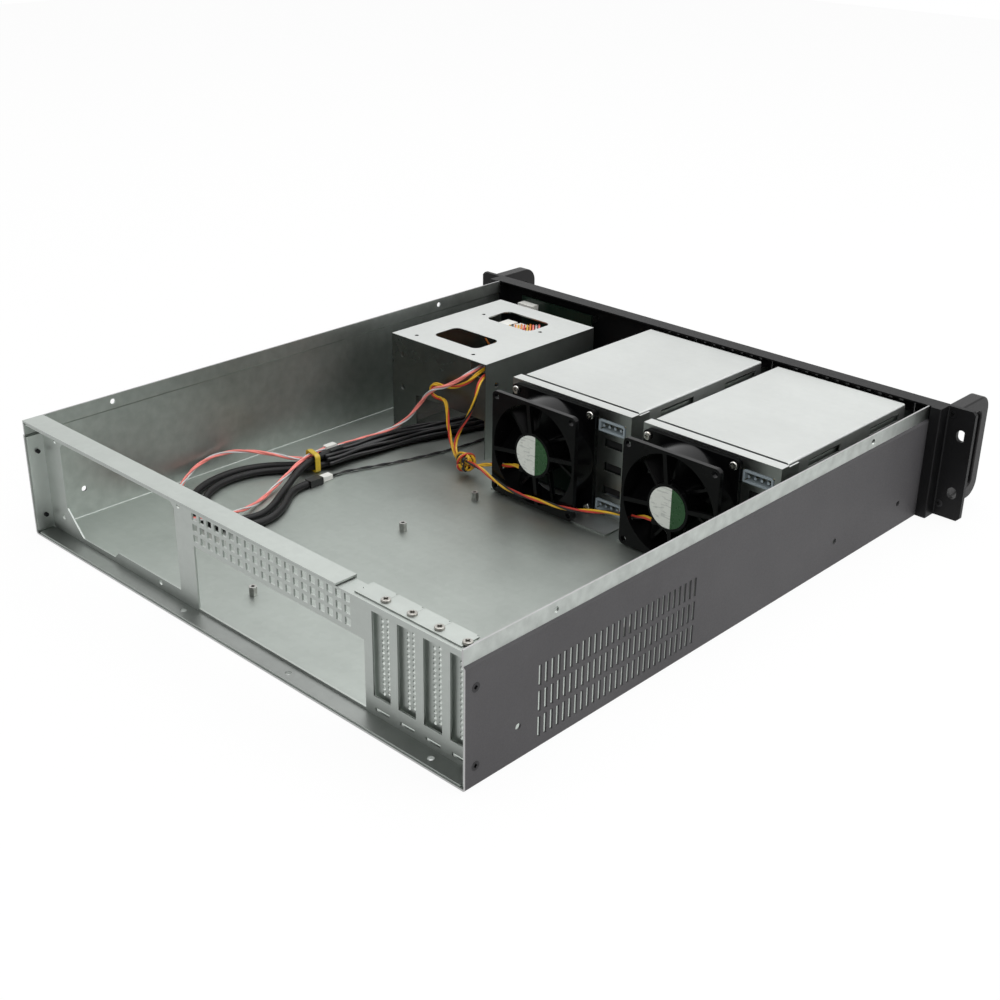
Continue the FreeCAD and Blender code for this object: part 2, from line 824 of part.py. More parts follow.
def ear():
    """Right-hand ear: a block beside the wall and the rack plate."""
    plate_start = front_face - ear_plate
    outer = rounded([(half, front_face - ear_block_depth),
                     (half + ear_block, front_face - ear_block_depth, 0.8),
                     (half + ear_block, plate_start, 1.0), (ear_end, plate_start),
                     (ear_end, front_face), (half, front_face)])
    body = level(outer, [], ear_bottom, ear_top - ear_bottom)
    x = rack_hole_x
    cuts = []
    for z in rack_hole_zs():
        slot = rectangle(x - rack_hole_width / 2, x + rack_hole_width / 2,
                         z - rack_hole_length / 2, z + rack_hole_length / 2,
                         rack_hole_width / 2 - 0.01)
        cuts.append(across(slot, [], plate_start - 1, ear_plate + 2))
    for z in handle_screw_zs():
        cuts.append(rod(handle_x, z, screw_shank + screw_play, plate_start - 1, front_face + 1))
        cuts.append(cone(handle_x, z, screw_head, screw_shank, plate_start, plate_start + sheet))
    for z in ear_screw_zs():
        cuts.append(cross_rod(half - 1, half + ear_block - 2, ear_screw_d(), z, screw_shank))
    for z, way in ((ear_bottom, 1), (ear_top, -1)):
        edge_x = ear_end
        points = [(edge_x + 1, z - way), (edge_x - ear_corner, z - way), (edge_x - ear_corner, z),
                  (edge_x, z + way * ear_corner), (edge_x + 1, z + way * ear_corner)]
        cuts.append(across(rounded(points), [], plate_start - 1, ear_plate + 2))
    return body.cut(Part.makeCompound(cuts))


def ears():
    right = ear()
    save("right_ear", right)
    save("left_ear", mirrored(right))


def handle():
    """Right-hand pull handle: two arms and an upright bar."""
    reach = front_face + handle_reach
    inside = reach - handle_bar
    arm = handle_arm
    outer = rounded([
        (front_face, handle_bottom), (reach, handle_bottom, handle_radius),
        (reach, handle_top, handle_radius), (front_face, handle_top),
        (front_face, handle_top - arm), (inside, handle_top - arm, handle_inner_radius),
        (inside, handle_bottom + arm, handle_inner_radius), (front_face, handle_bottom + arm)])
    body = along(outer, [], handle_x - handle_width / 2, handle_width)
    sides = [edge for edge in body.Edges
             if abs(edge.BoundBox.XLength) < 1e-6 and edge.BoundBox.YMin < y_at(front_face) - 0.01]
    body = body.makeFillet(handle_edge, sides)
    drills = [rod(handle_x, z, screw_shank, front_face - 1, front_face + handle_screw_grip)
              for z in handle_screw_zs()]
    return body.cut(Part.makeCompound(drills))


def handles():
    right = handle()
    save("right_handle", right)
    save("left_handle", mirrored(right))
    plate_start = front_face - ear_plate
    screws = [flat_screw(V(side * handle_x, y_at(plate_start), z), V(0, 1, 0), handle_screw_length)
              for side in (-1, 1) for z in handle_screw_zs()]
    save("handle_screws", group(screws))
    fixings = [pan_screw(V(side * (inner - sheet), y_at(ear_screw_d()), z), V(-side, 0, 0),
                         screw_head, 1.8, screw_shank, ear_screw_length)
               for side in (-1, 1) for z in ear_screw_zs()]
    save("ear_screws", group(fixings))


# ---- drive cages --------------------------------------------------------
def tray_bottoms():
    return [tray_first + tray_pitch * k for k in range(tray_count)]


def drive_cages():
    """Folded bridge over three trays, with inward feet and side slots."""
    t = thin_sheet
    w = cage_width / 2
    for name, x in zip(cage_names, cage_centres):
        section = rounded([
            (x - w, floor_top), (x - w + cage_foot, floor_top), (x - w + cage_foot, floor_top + t),
            (x - w + t, floor_top + t), (x - w + t, cage_top - t), (x + w - t, cage_top - t),
            (x + w - t, floor_top + t), (x + w - cage_foot, floor_top + t),
            (x + w - cage_foot, floor_top), (x + w, floor_top),
            (x + w, cage_top, cage_fold), (x - w, cage_top, cage_fold)])
        body = across(section, [], cage_rear, cage_front - cage_rear)
        slot_z = cage_top - cage_slot_drop
        cuts = [block(x - w - 1, x + w + 1, cage_rear + step, cage_rear + step + cage_slot_length,
                      slot_z - cage_slot_height, slot_z) for step in cage_slot_steps]
        save("drive_cage_" + name, body.cut(Part.makeCompound(cuts)))
        rails = [rail(x, side, z) for z in tray_bottoms() for side in (-1, 1)]
        save("tray_rails_" + name, group(rails))


def rail(x, side, z):
    """Angle strip on a cage wall that carries one edge of a tray."""
    wall = x + side * (cage_width / 2 - thin_sheet)
    top = z - slide_play
    ledge_end = wall - side * rail_ledge
    leg_end = wall - side * thin_sheet
    start = cage_rear + 2.0
    stop = cage_front - 1.0
    if top - thin_sheet < floor_top + thin_sheet + 0.1:
        return block(min(wall, ledge_end), max(wall, ledge_end), start, stop,
                     floor_top + thin_sheet, top)
    ledge = block(min(wall, ledge_end), max(wall, ledge_end), start, stop, top - thin_sheet, top)
    leg = block(min(wall, leg_end), max(wall, leg_end), start, stop, top - rail_leg, top - thin_sheet)
    return joined([ledge, leg])


# ---- drive trays --------------------------------------------------------
def lever_axis_x(x):
    return x - bezel_width / 2 + lever_inset


def drive_trays():
    """Tray with a moulded front, and a latch lever on two trunnions."""
    back = front_face + 0.8
    for name, x in zip(cage_names, cage_centres):
        for number, z in enumerate(tray_bottoms(), 1):
            title = name + "_" + str(number)
            save("tray_" + title, tray(x, z, back))
            save("tray_lever_" + title, lever(x, z))


def lever_d():
    return bezel_front + lever_thick / 2 + lug_play


def tray(x, z, back):
    w = tray_width / 2
    floor = block(x - w, x + w, tray_rear, front_face, z, z + tray_wall)
    walls = [block(x - w, x - w + tray_wall, tray_rear, front_face, z + tray_wall, z + tray_side_height),
             block(x + w - tray_wall, x + w, tray_rear, front_face, z + tray_wall, z + tray_side_height)]
    front = across(centred(x, z + bezel_height / 2, bezel_width, bezel_height, 1.5),
                   [], front_face - 1.4, bezel_front - front_face + 1.4)
    middle = z + bezel_height / 2
    axis_x = lever_axis_x(x)
    lugs = []
    for side in (-1, 1):
        base = middle + side * (lever_height / 2 + lug_play)
        end = base + side * lug_thick
        lugs.append(block(axis_x - lug_width / 2, axis_x + lug_width / 2, bezel_front,
                          lever_d() + lug_thick, min(base, end), max(base, end)))
    body = joined([floor] + walls + [front] + lugs)
    cuts = [post(axis_x, lever_d(), lever_pin + pin_play, middle - bezel_height, middle + bezel_height)]
    for k in range(-5, 6):
        hole_x = x + bezel_slot_pitch * k + 4.0
        cuts.append(block(hole_x - bezel_slot / 2, hole_x + bezel_slot / 2, front_face - 3,
                          bezel_front + 1, z + bezel_height - 3.1, z + bezel_height - 1.9))
    for k in range(3):
        cuts.append(rounded_hole(x, tray_rear + tray_vent_first + tray_vent_pitch * k, z))
    return body.cut(Part.makeCompound(cuts))


def rounded_hole(x, d, z):
    """Cooling opening in a tray's floor."""
    return level(centred(x, d, tray_vent_width, tray_vent_depth, 5.0), [], z - 1, tray_wall + 2)


def lever(x, z):
    """Latch lever with trunnions at its hinge end and a lip at its free end."""
    middle = z + bezel_height / 2
    axis_x = lever_axis_x(x)
    d0 = lever_d() - lever_thick / 2
    d1 = lever_d() + lever_thick / 2
    low = middle - lever_height / 2
    high = middle + lever_height / 2
    arm = block(axis_x, axis_x + lever_length, d0, d1, low, high)
    barrel = post(axis_x, lever_d(), lever_thick / 2, low, high)
    pins = post(axis_x, lever_d(), lever_pin, low - lug_thick, high + lug_thick)
    grip = block(axis_x + lever_length - 4.0, axis_x + lever_length, d1, d1 + 1.6, low, high)
    body = joined([arm, barrel, pins, grip])
    cuts = []
    for k in range(7):
        slot_x = axis_x + 14.0 + lever_slot_pitch * k
        cuts.append(block(slot_x, slot_x + lever_slot, d0 - 1, d1 + 1, low + 3.5, high - 3.5))
    return body.cut(Part.makeCompound(cuts))


# ---- fans ---------------------------------------------------------------
def fan_centres():
    return [x + fan_offset_x for x in cage_centres]


def fan_frame(x):
    """Square flanges joined by a round duct, with the motor plate on struts."""
    z = fan_z
    offset = fan_screw_offset
    corners = [(x + i * offset, z + j * offset) for i in (-1, 1) for j in (-1, 1)]
    bores = [circle(x, z, fan_bore)] + [circle(u, v, fan_lug) for u, v in corners]
    outline_wire = centred(x, z, fan_size, fan_size, fan_corner)
    rear = across(outline_wire, bores, fan_rear, fan_flange)
    front = across(outline_wire, bores, bracket_d - fan_flange, fan_flange)
    duct_wall = fan_size / 2 - fan_bore - 0.1
    duct = across(circle(x, z, fan_bore + duct_wall), [circle(x, z, fan_bore)],
                  fan_rear + fan_flange - 0.5, fan_depth - 2 * fan_flange + 1.0)
    hub = across(circle(x, z, stator_hub), [], fan_rear, stator_thick)
    boss = rod(x, z, fan_boss_radius, fan_rear + stator_thick, fan_rear + stator_thick + fan_boss_length)
    outlet = block(x + lead_outlet_x - lead_outlet_width, x + lead_outlet_x, fan_rear,
                   fan_rear + stator_thick, z + lead_outlet_z - lead_outlet_width / 2,
                   z + lead_outlet_z + lead_outlet_width / 2)
    struts = []
    for angle in strut_angles:
        strut = block(x + stator_hub - 1.0, x + fan_bore + 0.6, fan_rear, fan_rear + strut_thick,
                      z - strut_width / 2, z + strut_width / 2)
        strut.rotate(V(x, 0, z), V(0, 1, 0), angle)
        struts.append(strut)
    body = joined([rear, front, duct, hub, boss, outlet] + struts)
    bore = rod(x, z, shaft_radius + shaft_play, fan_rear + 1.5, fan_rear + stator_thick + 12.0)
    lead_hole = cross_rod(x + stator_hub + lead_hole_start, x + fan_size / 2,
                          fan_rear + lead_hole_depth, z - lead_hole_drop, lead_radius + lead_hole_play)
    return body.cut(Part.makeCompound([bore, lead_hole]))


def fan_rotor(x):
    """Hub cup with swept blades on the fan's shaft."""
    z = fan_z
    rear = fan_rear + stator_thick + rotor_gap
    front = bracket_d - 1.2
    cup = rod(x, z, rotor_hub, rear, front).cut(rod(x, z, rotor_hub - 1.6, rear - 1, front - 2.0))
    shaft = rod(x, z, shaft_radius, fan_rear + 2.0, front - 1.0)
    ring = rod(x, z, rotor_radius, rear + 0.5, front).cut(rod(x, z, rotor_hub - 1.0, rear, front + 1))
    middle_y = y_at((rear + front) / 2)
    blades = []
    for k in range(blade_count):
        span = rotor_radius - rotor_hub + 3.0
        blade = Part.makeBox(span, blade_thick, blade_chord,
                             V(rotor_hub - 2.0, -blade_thick / 2, -blade_chord / 2))
        blade.rotate(V(0, 0, 0), V(1, 0, 0), 90 - blade_pitch_deg)
        blade.translate(V(x, middle_y, z))
        blade.rotate(V(x, middle_y, z), V(0, 1, 0), 360.0 * k / blade_count)
        blades.append(blade.common(ring))
    return joined([cup, shaft] + blades)


def fans():
    for name, x in zip(cage_names, fan_centres()):
        save("fan_frame_" + name, fan_frame(x))
        save("fan_rotor_" + name, fan_rotor(x))
    labels = [rod(x, fan_z, stator_hub - label_inset, fan_rear - label_thick, fan_rear)
              for x in fan_centres()]
    save("fan_labels", group(labels))
    offset = fan_screw_offset
    head_d = bracket_d - fan_flange
    screws = []
    for x in fan_centres():
        for i in (-1, 1):
            for j in (-1, 1):
                base = V(x + i * offset, y_at(head_d), fan_z + j * offset)
                screws.append(pan_screw(base, V(0, 1, 0), screw_head, 2.0, screw_shank + 0.2,
                                        fan_flange + sheet + 1.5))
    save("fan_screws", group(screws))


# ---- fan brackets and backplanes ----------------------------------------
def bracket_ends(x):
    """Outer ends of the bracket in X, smaller first."""
    return (x - cage_width / 2 - sheet - bracket_overhang, x + cage_width / 2)


def port_zs():
    middle = (socket_low + socket_high) / 2
    return (middle - port_pitch, middle, middle + port_pitch)


def fan_brackets():
    offset = fan_screw_offset
    for name, x, fan_x in zip(cage_names, cage_centres, fan_centres()):
        x0, x1 = bracket_ends(x)
        socket_x = x - socket_offset_x
        holes = [circle(fan_x, fan_z, fan_bore)]
        holes += [circle(fan_x + i * offset, fan_z + j * offset, screw_shank + 0.3)
                  for i in (-1, 1) for j in (-1, 1)]
        holes += [centred(socket_x, z, socket_width + 0.8, socket_height + 0.8)
                  for z in (socket_low, socket_high)]
        holes += [centred(socket_x - port_offset_x, z, port_width, port_height) for z in port_zs()]
        face = across(rectangle(x0, x1, floor_top, bracket_top), holes, bracket_d, sheet)
        top = block(x0, x1, bracket_d + sheet, bracket_d + bracket_flange,
                    bracket_top - sheet, bracket_top)
        foot = block(x0, x1, bracket_d - bracket_foot, bracket_d, floor_top, floor_top + sheet)
        side = block(x0, x0 + sheet, bracket_d + sheet, bracket_d + bracket_side,
                     floor_top, bracket_top - sheet)
        save("fan_bracket_" + name, joined([face, top, foot, side]))


def backplanes():
    board_back = cage_rear - board_thick
    sockets = []
    ports = []
    for name, x in zip(cage_names, cage_centres):
        w = cage_width / 2 - 0.5
        board = block(x - w, x + w, board_back, cage_rear, floor_top + 1.5, bracket_top - sheet - 2.0)
        save("backplane_" + name, board)
        socket_x = x - socket_offset_x
        for z in (socket_low, socket_high):
            sockets.append(power_socket(socket_x, z, board_back))
        for z in port_zs():
            port_half = port_width / 2 - port_frame
            middle = socket_x - port_offset_x
            ports.append(block(middle - port_half, middle + port_half,
                               board_back - port_reach, board_back,
                               z - port_height / 2 + port_frame, z + port_height / 2 - port_frame))
    save("power_sockets", group(sockets))
    save("data_ports", group(ports))


def power_socket(x, z, board_back):
    """Four-way power inlet with its shroud and pins."""
    start = bracket_d - socket_reach
    shell = across(centred(x, z, socket_width, socket_height, 1.0), [], start, board_back - start)
    cavity = across(centred(x, z, socket_width - 2 * socket_wall, socket_height - 2 * socket_wall, 0.6),
                    [], start - 1, 9.0)
    pins = [rod(x + pin_pitch * k, z, 1.05, start + 1.0, start + 9.0) for k in (-1.5, -0.5, 0.5, 1.5)]
    return joined([shell.cut(cavity)] + pins)


# ---- fixed drive cage ---------------------------------------------------
def fixed_drive_cage():
    """Folded box with an open front, two top windows and a cable exit."""
    t = thin_sheet
    hole_x = fixed_middle + fixed_hole_offset
    top_holes = [centred(fixed_middle + window_offset, fixed_rear + step, window_length, window_width,
                         window_radius) for step in window_steps]
    top_holes += [circle(hole_x + side * fixed_hole_span / 2, fixed_rear + step, fixed_hole / 2)
                  for side in (-1, 1) for step in fixed_hole_steps]
    top = level(rectangle(fixed_right, fixed_left, fixed_rear, fixed_front), top_holes,
                fixed_top - t, t)
    side_top = fixed_top - t
    near_holes = [circle(fixed_rear + dot_inset, side_dot_z, wall_dot / 2)]
    near = along(rectangle(fixed_rear, fixed_front, floor_top, side_top), near_holes, fixed_right, t)
    far = along(rectangle(fixed_rear, fixed_front, floor_top, side_top), [], fixed_left - t, t)
    rear_outer = rounded([
        (fixed_right + exit_width, floor_top), (fixed_left, floor_top), (fixed_left, side_top),
        (fixed_right + notch_width, side_top), (fixed_right + notch_width, side_top - notch_height),
        (fixed_right, side_top - notch_height), (fixed_right, exit_height),
        (fixed_right + exit_width, exit_height)])
    rear_holes = [circle(fixed_left - dot_inset, z, wall_dot / 2) for z in wall_dot_zs]
    rear = across(rear_outer, rear_holes, fixed_rear, t)
    far_foot = block(fixed_left - t - cage_foot, fixed_left - t, fixed_rear + t, fixed_front,
                     floor_top, floor_top + t)
    near_foot = block(fixed_right + t, fixed_right + t + cage_foot, fixed_rear + near_foot_start, fixed_front,
                      floor_top, floor_top + t)
    save("fixed_drive_cage", joined([top, near, far, rear, far_foot, near_foot]))


# ---- front controls -----------------------------------------------------
def controls():
    reach = control_board_width / 2
    board = block(control_board_x - reach, control_board_x + reach,
                  control_board_d - board_thick, control_board_d,
                  floor_top + control_board_rise, lip_height - control_board_drop)
    posts = [rod(control_board_x + side * (reach - spacer_inset), z, spacer_radius,
                 control_board_d, body_depth)
             for side in (-1, 1) for z in spacer_zs]
    save("control_board", board)
    save("board_spacers", group(posts))
    save("power_button", button(power_x, power_radius))
    save("reset_button", button(reset_x, reset_radius))
    switch_thick = control_gap - stem_length - switch_gap
    switches = [across(centred(x, control_z, switch_size, switch_size), [], control_board_d,
                       switch_thick) for x in (power_x, reset_x)]
    lights = [rod(x, control_z, light_radius, control_board_d, front_face + 0.6) for x in light_xs]
    save("status_lights", group(lights))
    save("usb_ports", group([usb_port(port_x + side * usb_gap / 2) for side in (-1, 1)]))
    plug_x = control_board_x + reach - control_plug_inset
    plug_top = lip_height - control_board_drop - spacer_inset
    board_back = control_board_d - board_thick
    plug = block(plug_x - control_plug_width / 2, plug_x + control_plug_width / 2,
                 board_back - control_plug_height, board_back,
                 plug_top - control_plug_height, plug_top)
    save("board_parts", group(switches + [plug]))


def button(x, radius):
    """Push button: cap, collar behind the panel and a stem towards its switch."""
    cap = rod(x, control_z, radius, body_depth - button_collar, front_face + button_reach)
    collar = rod(x, control_z, radius + button_collar, body_depth - button_collar - 0.5,
                 body_depth - button_play)
    stem = rod(x, control_z, stem_radius, body_depth - stem_length, body_depth - button_collar)
    return joined([cap, collar, stem])


def usb_port(x):
    """Socket shell with its tongue, from the control board through the panel."""
    shell = across(centred(x, port_z, usb_width, usb_height, 0.4), [], control_board_d,
                   front_face + 0.3 - control_board_d)
    mouth = across(centred(x, port_z, usb_width - 0.8, usb_height - 0.8), [],
                   control_board_d + 3.0, control_gap + 2.0)
    tongue = block(x - 5.0, x + 5.0, control_board_d + 2.0, front_face - 0.6,
                   port_z + 0.2, port_z + 1.8)
    return joined([shell.cut(mouth), tongue])


# ---- cords --------------------------------------------------------------
# Each route is a list of (x, d, z), chosen point by point.
outer_route = (
    (131.0, 380.0, 4.2), (131.0, 360.0, 4.2), (138.0, 337.0, 4.1), (145.5, 313.0, 4.2),
    (151.5, 289.0, 4.1), (155.5, 265.0, 4.2), (157.2, 243.0, 4.3), (158.4, 224.0, 5.1),
    (159.7, 206.6, 5.7), (169.0, 195.5, 4.8), (179.5, 187.0, 4.2), (187.5, 174.5, 4.1),
    (192.0, 160.5, 4.2), (193.0, 145.5, 4.1), (190.0, 128.5, 4.2), (182.0, 112.5, 4.1),
    (169.0, 99.5, 4.2), (152.5, 91.5, 4.1), (134.5, 90.5, 4.2), (118.5, 97.0, 4.1),
    (109.0, 110.5, 4.2), (109.0, 127.0, 4.1), (116.0, 142.0, 4.2), (124.8, 153.0, 4.1),
    (132.0, 162.5, 4.2), (136.0, 172.5, 4.2), (136.0, 182.5, 4.2))
inner_route = (
    (124.5, 380.0, 4.0), (124.5, 361.0, 4.0), (131.0, 336.5, 3.9), (138.5, 312.0, 4.0),
    (144.5, 288.0, 3.9), (149.0, 264.5, 4.0), (151.2, 243.0, 4.1), (152.4, 223.5, 5.0),
    (154.3, 205.4, 5.5), (162.0, 192.5, 4.6), (171.5, 182.5, 4.0), (179.0, 170.5, 3.9),
    (183.0, 157.0, 4.0), (183.5, 142.5, 3.9), (180.0, 127.5, 4.0), (171.5, 114.5, 3.9),
    (159.5, 105.0, 4.0), (145.0, 100.5, 3.9), (130.5, 103.0, 4.0), (120.5, 113.0, 3.9),
    (119.0, 127.0, 4.0), (125.0, 140.5, 3.9), (133.5, 153.0, 4.1), (141.5, 166.5, 4.8),
    (148.5, 180.0, 7.3), (154.0, 193.5, 10.3), (156.4, 208.5, 11.2), (156.4, 221.0, 11.2))
pink_route = (
    (124.0, 380.0, 61.0), (124.0, 368.0, 61.0), (112.0, 351.5, 66.0), (99.5, 338.0, 71.5),
    (91.5, 325.5, 75.0), (89.8, 314.5, 73.5), (95.0, 306.0, 68.0), (103.0, 302.5, 61.5),
    (112.0, 300.8, 56.5), (121.0, 300.4, 53.0), (129.0, 300.2, 46.5), (135.5, 299.5, 38.0),
    (141.0, 297.0, 29.0), (146.5, 292.0, 21.0), (152.5, 284.0, 15.0), (158.5, 272.5, 11.2),
    (164.0, 259.0, 9.3), (167.2, 244.5, 8.6), (167.6, 230.0, 8.8), (165.4, 219.0, 9.5),
    (162.0, 210.6, 9.8), (162.4, 202.9, 9.9), (169.4, 194.8, 10.8), (180.6, 187.6, 12.6),
    (191.0, 179.2, 14.2), (200.5, 169.5, 15.1), (207.0, 157.5, 15.2), (208.0, 143.5, 14.3),
    (205.0, 130.0, 12.4), (199.5, 117.5, 9.4), (192.0, 106.0, 6.4), (182.0, 95.5, 4.2),
    (168.5, 86.5, 3.4), (153.5, 81.5, 4.8), (139.0, 82.5, 7.8), (129.5, 91.0, 9.9),
    (126.4, 103.5, 9.6), (130.2, 115.5, 6.6), (135.0, 128.5, 3.9), (140.0, 142.0, 3.3),
    (146.5, 155.5, 3.9), (151.8, 169.0, 5.8), (155.3, 182.0, 9.0), (159.2, 195.0, 12.2),
    (161.6, 208.5, 13.3), (161.6, 221.0, 13.3))
left_lead_route = (
    (107.0, 380.0, 58.0), (107.0, 369.0, 58.0), (97.5, 354.5, 62.5), (88.5, 342.0, 67.0),
    (83.6, 329.5, 70.5), (81.8, 317.0, 71.6), (78.8, 307.0, 67.5), (76.0, 301.5, 59.5),
    (76.6, 298.0, 50.5), (80.0, 295.5, 41.5), (84.8, 293.6, 32.5), (87.0, 290.6, 24.0),
    (83.4, 286.2, 17.2), (75.4, 282.2, 14.6), (66.0, 279.0, 14.6), (57.5, 276.0, 16.8),
    (49.5, 273.4, 18.4), (41.0, 272.6, 17.4), (31.5, 272.8, 13.8), (20.5, 273.2, 10.6),
    (8.5, 273.4, 9.3), (-4.0, 273.3, 9.7), (-17.0, 273.4, 11.1), (-30.0, 273.3, 12.0),
    (-43.0, 273.6, 13.1), (-55.0, 275.2, 15.4), (-67.0, 278.0, 18.2), (-78.5, 280.5, 20.6),
    (-89.5, 281.3, 22.1), (-96.6, 281.2, 23.0), (-102.8, 280.0, 25.4), (-108.8, 278.4, 28.3),
    (-115.2, 278.4, 28.3))
centre_lead_route = (
    (115.5, 380.0, 59.0), (115.5, 368.0, 59.0), (105.0, 353.5, 64.5), (94.0, 341.0, 70.0),
    (87.0, 329.0, 74.0), (85.6, 317.5, 73.8), (88.0, 309.5, 67.6), (95.0, 306.5, 61.6),
    (104.0, 305.5, 57.6), (113.5, 305.4, 55.2), (121.5, 305.2, 55.4), (128.6, 304.8, 53.0),
    (129.4, 304.4, 46.0), (122.8, 304.2, 43.6), (115.4, 303.8, 45.4), (109.2, 302.4, 42.6),
    (106.4, 300.0, 35.8), (102.8, 297.6, 27.6), (97.6, 294.6, 19.8), (91.0, 291.0, 13.6),
    (82.6, 287.0, 10.2), (73.6, 284.0, 9.6), (64.6, 282.6, 10.6), (56.6, 282.2, 12.8),
    (49.2, 282.0, 15.8), (41.6, 281.7, 19.0), (33.5, 281.3, 21.6), (26.2, 281.2, 23.0),
    (20.0, 280.0, 25.4), (14.2, 278.4, 28.3), (7.8, 278.4, 28.3))
signal_route = (
    (108.0, 380.0, 2.6), (108.0, 363.0, 2.6), (106.0, 341.0, 2.5), (107.5, 319.0, 2.6),
    (111.5, 298.0, 2.5), (116.5, 277.5, 2.6), (122.5, 258.0, 2.5), (129.0, 239.5, 2.6),
    (135.0, 224.0, 2.6), (137.5, 213.5, 2.6), (137.5, 205.5, 2.6))


def place(point):
    return V(point[0], y_at(point[1]), point[2])


def cord(name, route, radius):
    """Round cord of straight runs and tangent arcs through the route."""
    points = [place(p) for p in route]
    edges = []
    radii = []
    start = points[0]
    for i in range(1, len(points) - 1):
        way_in = points[i] - points[i - 1]
        way_out = points[i + 1] - points[i]
        turn = way_in.getAngle(way_out)
        cut = 0.45 * min(way_in.Length, way_out.Length)
        radii.append(cut / math.tan(turn / 2))
        way_in.normalize()
        way_out.normalize()
        first = points[i] - way_in * cut
        last = points[i] + way_out * cut
        inward = (way_out - way_in).normalize()
        centre = points[i] + inward * (radii[-1] / math.cos(turn / 2))
        edges.append(Part.LineSegment(start, first).toShape())
        edges.append(Part.Arc(first, centre - inward * radii[-1], last).toShape())
        start = last
    edges.append(Part.LineSegment(start, points[-1]).toShape())
    path = Part.Wire(edges)
    section = Part.Wire([Part.makeCircle(radius, points[0], points[1] - points[0])])
    tube = path.makePipeShell([section], True, True)
    save(name, tube)
    exact = math.pi * radius ** 2 * path.Length
    print("   length", round(path.Length, 1), "volume ratio", round(tube.Volume / exact, 5),
          "smallest bend in diameters", round(min(radii) / (2 * radius), 2))


def cords():
    cord("harness_outer", outer_route, outer_radius)
    cord("harness_inner", inner_route, inner_radius)
    cord("pink_lead", pink_route, lead_radius)
    cord("fan_lead_left", left_lead_route, lead_radius)
    cord("fan_lead_centre", centre_lead_route, lead_radius)
    cord("signal_lead", signal_route, signal_radius)
    hank_left = fixed_right + hank_inset
    hank = level(rectangle(hank_left, hank_left + hank_width, hank_d, hank_d + hank_depth, hank_radius),
                 [], floor_top + floor_play, hank_height)
    save("stowed_leads", hank)
    save("black_plugs", group([plug_at(outer_route[-1], harness_plug),
                               plug_at(inner_route[-1], return_plug)]))
    white = [plug_at(pink_route[-1], pink_plug), plug_at(signal_route[-1], signal_plug)]
    for step in hank_plug_steps:
        x = fixed_middle + step
        white.append(block(x, x + hank_plug_width, hank_d + hank_plug_start, hank_d + hank_plug_end,
                           hank_top, hank_top + hank_plug_height))
    save("white_plugs", group(white))
    save("cable_ties", group([harness_tie(), lead_tie()]))


def plug_at(end, size):
    """Plug that starts at a cord's end and runs forward, or to the rear if its length is negative."""
    x, d, z = end
    width, height, length = size
    low = max(z - height / 2, floor_top + floor_play)
    return block(x - width / 2, x + width / 2, min(d, d + length), max(d, d + length), low, z + height / 2)


def harness_tie():
    """Flat tie round three passes of the harness and two of the pink lead."""
    reach = tie_width / 2
    low = floor_top + tie_low
    outer = rectangle(-reach, reach, low, tie_high, tie_corner)
    hole = rectangle(tie_thick - reach, reach - tie_thick, low + tie_thick, tie_high - tie_thick,
                     tie_corner - tie_thick)
    ring = plate(outer, [hole], tie_band)
    ring.rotate(V(0, 0, 0), V(1, 0, 0), 90)
    ring.translate(V(0, tie_band / 2, 0))
    ring.rotate(V(0, 0, 0), V(0, 0, 1), tie_turn)
    ring.translate(V(tie_x, y_at(tie_d), 0))
    return ring


def lead_tie():
    """Small tie round both fan leads."""
    t = lead_tie_thick
    outer = rectangle(lead_tie_d[0], lead_tie_d[1], lead_tie_z[0], lead_tie_z[1], lead_tie_corner)
    hole = rectangle(lead_tie_d[0] + t, lead_tie_d[1] - t, lead_tie_z[0] + t, lead_tie_z[1] - t,
                     lead_tie_corner - t)
    return along(outer, [hole], lead_tie_x, lead_tie_band)


# ---- build --------------------------------------------------------------
chassis_tray()
board_standoffs()
rear_panel()
rear_beam()
slot_covers()
slot_screws()
panel_side_screws()
front_panel()
ears()
handles()
drive_cages()
drive_trays()
fans()
fan_brackets()
backplanes()
fixed_drive_cage()
controls()
cords()
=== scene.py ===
import bpy
import bmesh
import math
from mathutils import Vector, Matrix


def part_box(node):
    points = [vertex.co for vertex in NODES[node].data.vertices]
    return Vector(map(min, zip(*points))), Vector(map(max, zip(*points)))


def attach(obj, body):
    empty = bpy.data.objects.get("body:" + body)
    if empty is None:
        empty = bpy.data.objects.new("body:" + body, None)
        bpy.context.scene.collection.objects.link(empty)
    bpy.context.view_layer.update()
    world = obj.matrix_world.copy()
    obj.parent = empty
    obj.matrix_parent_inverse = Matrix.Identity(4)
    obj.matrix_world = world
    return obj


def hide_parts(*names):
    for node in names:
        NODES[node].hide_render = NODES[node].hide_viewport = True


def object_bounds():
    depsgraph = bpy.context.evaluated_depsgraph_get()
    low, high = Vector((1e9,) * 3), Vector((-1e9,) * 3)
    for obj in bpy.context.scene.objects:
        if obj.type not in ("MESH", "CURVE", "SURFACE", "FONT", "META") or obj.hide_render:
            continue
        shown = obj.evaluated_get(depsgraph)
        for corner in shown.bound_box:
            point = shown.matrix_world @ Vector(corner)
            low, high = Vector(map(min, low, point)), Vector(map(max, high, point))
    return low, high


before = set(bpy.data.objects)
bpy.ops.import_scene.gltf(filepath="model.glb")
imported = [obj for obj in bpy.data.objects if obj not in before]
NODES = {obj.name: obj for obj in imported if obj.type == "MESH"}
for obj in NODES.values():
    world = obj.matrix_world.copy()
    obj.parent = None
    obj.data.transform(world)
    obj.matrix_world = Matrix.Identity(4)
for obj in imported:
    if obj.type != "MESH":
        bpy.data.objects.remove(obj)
cad_low, cad_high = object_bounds()
REAR_Y = cad_high.y
MM = 0.001

